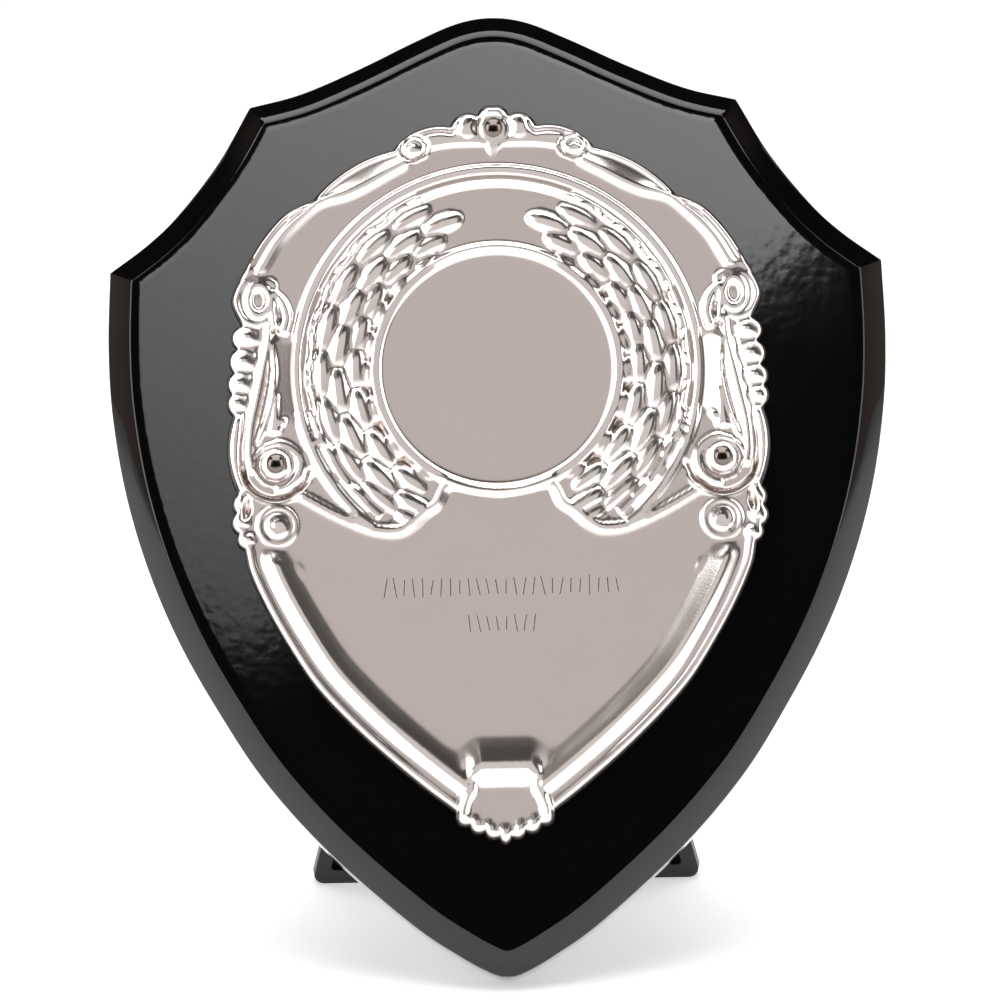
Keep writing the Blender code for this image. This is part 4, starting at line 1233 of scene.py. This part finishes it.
@dataclass
class Strut:
    """The moulded strut: a tab screwed to the back, a hinge wire, and a tapered leg."""

    thick: float = 15.0
    hinge_u: float = 119.4
    hinge_back: float = 4.6
    open_angle: float = math.radians(38.4)
    foot_half: float = 42.3
    top_half: float = 16.4
    leg_thick: float = 5.0
    web: float = 2.0
    rim: float = 3.3
    barrel: float = 3.2
    barrel_half: float = 9.0
    wire: float = 1.2
    tab_half: float = 16.0
    tab_thick: float = 2.4
    tab_low: float = 5.0
    tab_top: float = 34.0
    screw_x: float = 8.5
    screw_u: float = 20.0
    screw_head: float = 3.4
    screw_rise: float = 1.7
    screw_shank: float = 1.3
    screw_hole: float = 1.6
    screw_deep: float = 8.0
    screw_brim: float = 0.5
    cross: tuple[Pair, ...] = ((1.9, 0.35), (0.35, 1.9))
    cross_deep: float = 0.9
    leg_start: float = 6.0
    clear: float = 0.3

    def round_bar(self, name: str, radius: float, half: float, sides: int = 48) -> bpy.types.Object:
        """A round bar on the hinge's axis, level from side to side."""
        a = np.linspace(0.0, 2 * math.pi, sides, endpoint=False)
        ring = np.stack([self.hinge_u + radius * np.cos(a),
                         -self.thick - self.hinge_back + radius * np.sin(a)], axis=1)
        return self.prism(name, ring, -half, half)

    def prism(self, name: str, profile: Points, low: float, high: float) -> bpy.types.Object:
        """A solid with one convex (u, w) outline from x low to x high."""
        profile = np.asarray(profile, dtype=float)
        loops = []
        for x in (low, high):
            ring = np.column_stack([np.full(len(profile), x), profile])
            cap = np.array([[x, *profile.mean(axis=0)]])
            loops += [cap, ring] if x == low else [ring, cap]
        return solid(name, *stack(loops))

    def hole(self, spot: Pair, radius: float, low: float, high: float) -> bpy.types.Object:
        """A round tool square to the board, to bore with."""
        return turned("bore", spot, [(radius, low), (radius, high)], 32)

    def tab(self) -> bpy.types.Object:
        """Make the tab: a round-cornered plate with two knuckles and its screw holes.

        Returns:
            The tab.
        """
        top = -self.thick - 0.3
        low = top - self.tab_thick
        half = self.tab_half
        corner = 5.0
        arc = np.radians(np.linspace(0.0, 90.0, 9))
        right = np.stack([half - corner + corner * np.cos(arc),
                          self.tab_top - corner + corner * np.sin(arc)], axis=1)
        edge = np.vstack([[(half, self.tab_low)], right, right[::-1] * MIRROR,
                          [(-half, self.tab_low)]]) + np.array([0.0, self.hinge_u])
        middle = np.array([[0.0, self.hinge_u + 18.0]])
        piece = solid("strut_tab", *stack([at(middle, low), at(edge, low), at(edge, top), at(middle, top)]))
        sweep = np.radians(90.0 + np.linspace(0.0, 200.0, 28))
        curl = np.stack([self.hinge_u + self.barrel * np.cos(sweep),
                         -self.thick - self.hinge_back + self.barrel * np.sin(sweep)], axis=1)
        root = np.array([(self.hinge_u + 8.0, low + 0.25), (self.hinge_u + 8.0, top - 0.25),
                         (self.hinge_u + 1.5, top - 0.25)])
        knuckle = np.vstack([curl, root])
        inner = self.barrel_half + 0.4
        combine(piece, self.prism("knuckle_right", knuckle, inner, half - self.clear), "UNION")
        combine(piece, self.prism("knuckle_left", knuckle, self.clear - half, -inner), "UNION")
        combine(piece, self.round_bar("wire_hole", self.wire + self.clear, half + 2.0), "DIFFERENCE")
        for side in (-1.0, 1.0):
            spot = (side * self.screw_x, self.hinge_u + self.screw_u)
            combine(piece, self.hole(spot, self.screw_hole, low - 2.0, top + 0.2), "DIFFERENCE")
        soften(piece, 0.3)
        return piece

    def leg_point(self, x: float, s: float, t: float) -> tuple[float, float, float]:
        """A board point from the leg's own place: s down from the hinge, t out of its front face."""
        sin, cos = math.sin(self.open_angle), math.cos(self.open_angle)
        return (x, self.hinge_u - s * cos - t * sin, -self.thick - self.hinge_back - s * sin + t * cos)

    def reach(self, t: float) -> float:
        """How far down the leg meets the ground, at a depth t through it."""
        near_z, far_z = (float(STANCE.lay([self.leg_point(0.0, s, t)])[0, 2]) for s in (0.0, 1.0))
        return near_z / (near_z - far_z)

    def leg_loop(self, inset: float, t: float) -> Points:
        """The leg's tapered outline with round toes, at a depth t, moved in from its edge.

        The half width grows evenly from the top to the foot.

        Args:
            inset: How far in.
            t: Depth through the leg, out of its front face.

        Returns:
            The outline's board points.
        """
        foot = self.reach(t)
        slope = (self.foot_half - self.top_half) / (self.reach(0.0) - self.leg_start)
        high, low = self.leg_start + inset, foot - inset
        corner = max(2.2 - inset, 0.8)
        arc = np.radians(np.linspace(0.0, 90.0, 9))
        s = low - corner * (1 - np.sin(arc))
        x = self.top_half + slope * (low - corner - self.leg_start) - inset - corner * (1 - np.cos(arc))
        right = [(self.top_half + slope * (high - self.leg_start) - inset, high)] + list(zip(x, s))
        left = [(-a, b) for a, b in reversed(right)]
        return np.array([self.leg_point(a, b, t) for a, b in right + left])

    def leg(self) -> bpy.types.Object:
        """Make the leg: a tapered tray, open toward the board, with a barrel at its top.

        Returns:
            The leg.
        """
        front = self.leg_thick / 2
        web = self.web - front
        mid = self.reach(0.0) / 2
        loops = [np.array([self.leg_point(0.0, mid, -front)]), self.leg_loop(0.0, -front),
                 self.leg_loop(0.0, front), self.leg_loop(self.rim, front), self.leg_loop(self.rim, web),
                 np.array([self.leg_point(0.0, mid, web)])]
        piece = solid("moulded_leg", *stack(loops))
        neck = np.array([self.leg_point(0.0, s, t)[1:] for s, t in ((0.0, -2.3), (7.5, -2.3), (7.5, 1.6),
                                                                    (0.0, 1.6))])
        inner = self.barrel_half - self.clear
        combine(piece, self.prism("neck", neck, -inner, inner), "UNION")
        combine(piece, self.round_bar("barrel", self.barrel, self.barrel_half), "UNION")
        hole = self.round_bar("barrel_hole", self.wire + self.clear, self.barrel_half + 2.0)
        combine(piece, hole, "DIFFERENCE")
        soften(piece, 0.35)
        return piece

    def hinge_wire(self) -> bpy.types.Object:
        """Make the wire that the leg turns on."""
        piece = self.round_bar("hinge_wire", self.wire, self.tab_half - 0.5)
        soften(piece, 0.2)
        return piece

    def screw(self, name: str, side: float) -> bpy.types.Object:
        """Turn one pan-headed screw and cut its cross.

        Args:
            name: The piece's name.
            side: 1 for the right one and -1 for the left.

        Returns:
            The screw.
        """
        seat = -self.thick - 0.6 - self.tab_thick
        spot = (side * self.screw_x, self.hinge_u + self.screw_u)
        arc = np.radians(np.linspace(80.0, 0.0, 7))
        head = [(self.screw_head * (0.45 + 0.55 * math.cos(a)),
                 seat - self.screw_brim - (self.screw_rise - self.screw_brim) * math.sin(a)) for a in arc]
        tip = -self.thick + self.screw_deep
        shank = [(self.screw_head, seat), (self.screw_shank, seat), (self.screw_shank, tip - 1.5),
                 (0.2, tip)]
        piece = turned(name, spot, head + shank)
        low = seat - self.screw_rise
        for long, wide in self.cross:
            ring = np.array([(spot[0] + a * long, spot[1] + b * wide)
                             for a, b in ((1, 1), (-1, 1), (-1, -1), (1, -1))])
            centre, deep = np.array([spot]), low + self.cross_deep
            tool = solid("cross", *stack([at(centre, low - 1.0), at(ring, low - 1.0), at(ring, deep),
                                          at(centre, deep)]))
            combine(piece, tool, "DIFFERENCE")
        piece.data.shade_smooth()
        piece.data.set_sharp_from_angle(angle=math.radians(35.0))
        return piece


# Studio

@dataclass(frozen=True)
class Panel:
    """A soft panel light, placed by the direction that the plaque sees it in.

    Azimuth is 0 in front and grows to the right; the radiance is its brightness as seen.
    """

    name: str
    azimuth: float
    elevation: float
    away: float
    size: Pair
    radiance: float

    def hang(self, target: Vector) -> bpy.types.Object:
        """Hang the panel, facing the target.

        Power is radiance times pi times the panel's area.

        Args:
            target: What it faces.

        Returns:
            The light.
        """
        data = bpy.data.lights.new(self.name, "AREA")
        data.shape = "RECTANGLE"
        data.size, data.size_y = self.size
        data.energy = self.radiance * math.pi * self.size[0] * self.size[1]
        light = bpy.data.objects.new(self.name, data)
        bpy.context.scene.collection.objects.link(light)
        light.visible_camera = False
        side, up = math.radians(self.azimuth), math.radians(self.elevation)
        way = Vector((math.sin(side) * math.cos(up), -math.cos(side) * math.cos(up), math.sin(up)))
        aim = (-way).to_track_quat("-Z", "Y").to_matrix().to_4x4()
        light.matrix_world = Matrix.Translation(target + way * self.away) @ aim
        return light


@dataclass
class Studio:
    """Pale floor, soft light and the camera at the photograph's angle."""

    distance: float = 1.5
    pitch: float = math.radians(12.01)
    roll: float = math.radians(-1.01)
    target: Triple = (0.00004, 0.0, 0.09345)
    lens: float = 259.5
    middle: Vector = field(default_factory=lambda: Vector((0.0, 0.0, 0.1)))
    room: tuple[Panel, ...] = (
        Panel("top_front", 0.0, 62.0, 1.6, (1.3, 0.8), 3.0),
        Panel("side_left", -54.0, 24.0, 1.5, (0.8, 1.2), 3.2),
        Panel("side_right", 52.0, 24.0, 1.5, (0.8, 1.2), 2.6),
        Panel("overhead", 180.0, 84.0, 2.2, (2.4, 1.5), 3.2))
    tent_radius: float = 2.6
    tent_white: float = 3.0
    tent_grey: float = 0.665
    brown: Triple = (1.0, 0.86, 0.78)
    glow: float = 0.42

    def floor(self) -> bpy.types.Object:
        """Lay the pale floor, swept up far behind and lit from within like a light table."""
        t = np.linspace(0.0, 1.0, 60)
        y = np.concatenate([[-6.0], np.linspace(-3.0, 3.0, 20), 3.0 + 1.5 * np.sin(t * math.pi / 2), [4.5]])
        z = np.concatenate([np.zeros(21), 1.5 * (1 - np.cos(t * math.pi / 2)), [4.0]])
        x = np.array([-6.0, 6.0])
        points = np.stack(np.broadcast_arrays(x[None, :], y[:, None], z[:, None]), axis=-1).reshape(-1, 3)
        rows = np.arange(len(y) - 1) * 2
        faces = np.stack([rows, rows + 1, rows + 3, rows + 2], axis=1)
        material, _, shader = blank("white_paper_sweep")
        shader.inputs["Base Color"].default_value = linear("fafafa")
        shader.inputs["Roughness"].default_value = 0.9
        shader.inputs["Emission Color"].default_value = linear("ffffff")
        shader.inputs["Emission Strength"].default_value = self.glow
        return self.prop("floor", points, faces, material)

    def prop(self, name: str, points: Points, faces: Points,
             material: bpy.types.Material) -> bpy.types.Object:
        """Add a studio prop, which is no part of the plaque."""
        mesh = bpy.data.meshes.new(name)
        mesh.from_pydata(np.asarray(points).tolist(), [], np.asarray(faces).tolist())
        mesh.shade_smooth()
        mesh.materials.append(material)
        prop = bpy.data.objects.new(name, mesh)
        bpy.context.scene.collection.objects.link(prop)
        return prop

    def tent(self, metal: list[bpy.types.Object]) -> None:
        """Surround the front with a light tent that only the metal sees.

        It is white to the sides and overhead, grey where the flats mirror it, and dark above and to
        the right of that, where the studio's black cards stand.  Each region is a product of steps in
        azimuth and elevation, in degrees, kept as a colour attribute.

        Args:
            metal: The pieces that see the tent.
        """
        side, up = np.meshgrid(np.linspace(-110.0, 110.0, 111), np.linspace(-24.0, 120.0, 73))
        a, e = np.radians(side), np.radians(up)
        way = np.stack([np.sin(a) * np.cos(e), -np.cos(a) * np.cos(e), np.sin(e)], axis=-1)
        points = np.array(self.middle) + self.tent_radius * way.reshape(-1, 3)

        def between(value: Points, low: float, high: float, soft: float = 4.0) -> Points:
            return ease(value, low - soft, low + soft) * (1 - ease(value, high - soft, high + soft))

        grey = between(side, -28.0, 33.0) * between(up, -6.0, 46.0)
        above = between(side, -15.0, 66.0) * between(up, 43.0, 78.0)
        above_left = between(side, -52.0, -15.0) * between(up, 36.0, 74.0)
        right = between(side, 32.0, 62.0) * between(up, -4.0, 76.0)
        tone = np.full((*side.shape, 3), self.tent_white)
        for share, level, tint in ((grey, self.tent_grey, (1.0, 0.92, 0.9)), (above_left, 0.2, self.brown),
                                   (right, 0.06, self.brown), (above, 0.04, self.brown)):
            tone = tone * (1 - share[..., None]) + level * np.array(tint) * share[..., None]
        material, tree, glow = self.glowing("light_tent")
        colour = node(tree, "ShaderNodeAttribute", {"attribute_name": "tone"})
        tree.links.new(colour.outputs["Color"], glow.inputs["Color"])
        faces = grid_faces(*side.shape).reshape(len(side) - 1, -1, 4)[:, :-1].reshape(-1, 4)
        tent = self.prop("light_tent", points, faces, material)
        layer = tent.data.attributes.new("tone", "FLOAT_COLOR", "POINT")
        layer.data.foreach_set("color", np.dstack([tone, np.ones(side.shape)]).ravel().astype(np.float32))
        tent.visible_camera = False
        tent.visible_shadow = False
        tent.light_linking.receiver_collection = self.group("lit_by_tent", metal)

    def glowing(self, name: str) -> tuple[bpy.types.Material, bpy.types.NodeTree, bpy.types.Node]:
        """Make the material of a lit gauze, clear for whatever it isn't meant for."""
        material, tree, shader = blank(name)
        glow = node(tree, "ShaderNodeEmission", inputs={"Strength": 1.0})
        clear = node(tree, "ShaderNodeBsdfTransparent")
        both = node(tree, "ShaderNodeAddShader", inputs={0: glow.outputs[0], 1: clear.outputs[0]})
        tree.links.new(both.outputs[0], tree.nodes["Material Output"].inputs["Surface"])
        tree.nodes.remove(shader)
        return material, tree, glow

    def mirror(self, spot: Pair, away: float) -> Points:
        """Find what a spot on the board's face mirrors to the camera, at a distance in front.

        The camera's image lies as far behind the face as the camera stands before it; the line from
        it through the spot runs on to the plane at that distance.

        Args:
            spot: The spot's (x, u) in millimetres.
            away: Distance of the plane from the board along its mirror direction, in metres.

        Returns:
            The point in metres.
        """
        normal = STANCE.lay([(0.0, 0.0, 1.0)])[0] - STANCE.lay([(0.0, 0.0, 0.0)])[0]
        normal /= np.linalg.norm(normal)
        place = STANCE.lay([(*spot, 0.0)])[0]
        forward = np.array([0.0, math.cos(self.pitch), -math.sin(self.pitch)])
        camera = np.array(self.target) - forward * self.distance
        image = camera - 2 * ((camera - place) @ normal) * normal
        way = (place - image) / np.linalg.norm(place - image)
        return place + way * away

    def window(self, board: bpy.types.Object) -> None:
        """Set the bright card that the board's upper left mirrors, lit for the board alone."""
        spots = ((-54.0, 68.0), (75.0, 158.0), (60.0, 260.0), (-120.0, 260.0), (-110.0, 112.0))
        points = np.array([self.mirror(spot, 1.5) for spot in spots])
        material, tree, glow = self.glowing("bright_card")
        place = node(tree, "ShaderNodeTexCoord")
        split = node(tree, "ShaderNodeSeparateXYZ", inputs={0: place.outputs["Object"]})
        rise = node(tree, "ShaderNodeMath", {"operation": "MULTIPLY_ADD"},
                    {0: split.outputs["X"], 1: 0.45, 2: split.outputs["Z"]})
        low = points[0][0] * 0.45 + points[0][2]
        high = points[2][0] * 0.45 + points[2][2]
        level = node(tree, "ShaderNodeMapRange", inputs={"Value": rise.outputs["Value"], "From Min": low,
                                                         "From Max": high, "To Min": 1.5, "To Max": 6.5})
        tree.links.new(level.outputs["Result"], glow.inputs["Strength"])
        card = self.prop("bright_card", points, np.arange(len(spots))[None], material)
        card.visible_camera = False
        card.visible_shadow = False
        card.light_linking.receiver_collection = self.group("lit_by_card", [board])

    def group(self, name: str, members: list[bpy.types.Object]) -> bpy.types.Collection:
        """Collect the pieces that one light is meant for."""
        group = bpy.data.collections.new(name)
        for member in members:
            group.objects.link(member)
        return group

    def world(self) -> None:
        """Dim the room: nearly dark, with warm grey walls to the sides."""
        world = bpy.data.worlds.new("studio")
        bpy.context.scene.world = world
        world.use_nodes = True
        tree = world.node_tree
        way = node(tree, "ShaderNodeTexCoord")
        split = node(tree, "ShaderNodeSeparateXYZ", inputs={0: way.outputs["Generated"]})
        aside = node(tree, "ShaderNodeMath", {"operation": "ABSOLUTE"}, {0: split.outputs["X"]})
        wall = node(tree, "ShaderNodeMapRange", {"interpolation_type": "SMOOTHSTEP"},
                    {"Value": aside.outputs["Value"], "From Min": 0.7, "From Max": 0.95, "To Max": 1.0})
        tone = node(tree, "ShaderNodeMix", {"data_type": "RGBA"},
                    {0: wall.outputs["Result"], 6: (0.012, 0.011, 0.010, 1.0), 7: (0.42, 0.33, 0.27, 1.0)})
        tree.links.new(tone.outputs[2], tree.nodes["Background"].inputs["Color"])
        tree.nodes["Background"].inputs["Strength"].default_value = 1.0

    def camera(self) -> None:
        """Set the camera: a long lens, a little under the face's own normal."""
        sin, cos = math.sin(self.pitch), math.cos(self.pitch)
        forward = np.array([0.0, cos, -sin])
        right = np.array([1.0, 0.0, 0.0])
        up = np.cross(right, forward)
        c, s = math.cos(self.roll), math.sin(self.roll)
        pose = np.eye(4)
        pose[:3, :3] = np.stack([c * right + s * up, c * up - s * right, -forward], axis=1)
        pose[:3, 3] = np.array(self.target) - forward * self.distance
        data = bpy.data.cameras.new("camera")
        data.lens = self.lens
        data.sensor_width = 36.0
        data.clip_end = 50.0
        camera = bpy.data.objects.new("camera", data)
        bpy.context.scene.collection.objects.link(camera)
        camera.matrix_world = Matrix(pose.tolist())
        bpy.context.scene.camera = camera

    def build(self, board: bpy.types.Object, metal: list[bpy.types.Object],
              others: list[bpy.types.Object]) -> None:
        """Set the whole studio.

        Args:
            board: The board, which mirrors the bright card.
            metal: The pressed front, which sees the light tent in place of the panels.
            others: The other pieces, lit by the panels like the board.
        """
        bpy.context.scene.view_settings.view_transform = "Standard"
        floor = self.floor()
        self.world()
        self.window(board)
        self.tent(metal)
        lit = self.group("lit_by_panels", [board, floor, *others])
        for panel in self.room:
            panel.hang(self.middle).light_linking.receiver_collection = lit
        self.camera()


def main() -> None:
    """Build the plaque, hand its pieces to the frame, and set the studio."""
    logging.basicConfig(level=logging.INFO, format="%(message)s")
    lacquer = GlossLacquer().make()
    silver = SilverSheet().make()
    nickel = PlatedSteel("nickel_plated_pin", "786e69", 0.12).make()
    zinc = PlatedSteel("zinc_plated_screw", "c2c2c0", 0.28).make()
    plastic = MouldedPlastic().make()
    board = dress(Board().build(), lacquer, Body.PLAQUE, "board")
    front = dress(PressedFront().build(), silver, Body.PLAQUE, "shield_front")
    pins = Pins()
    others = [dress(pins.build(name), nickel, Body.PLAQUE, name) for name in pins.seats]
    strut = Strut()
    others += [
        dress(strut.tab(), plastic, Body.PLAQUE, "strut_bracket"),
        dress(strut.leg(), plastic, Body.LEG, "strut_leg"),
        dress(strut.hinge_wire(), zinc, Body.PLAQUE, "hinge_pin"),
        dress(strut.screw("pan_screw_right", 1.0), zinc, Body.PLAQUE, "screw_right"),
        dress(strut.screw("pan_screw_left", -1.0), zinc, Body.PLAQUE, "screw_left")]
    Studio().build(board, [front], others)


if __name__ == "__main__":
    main()
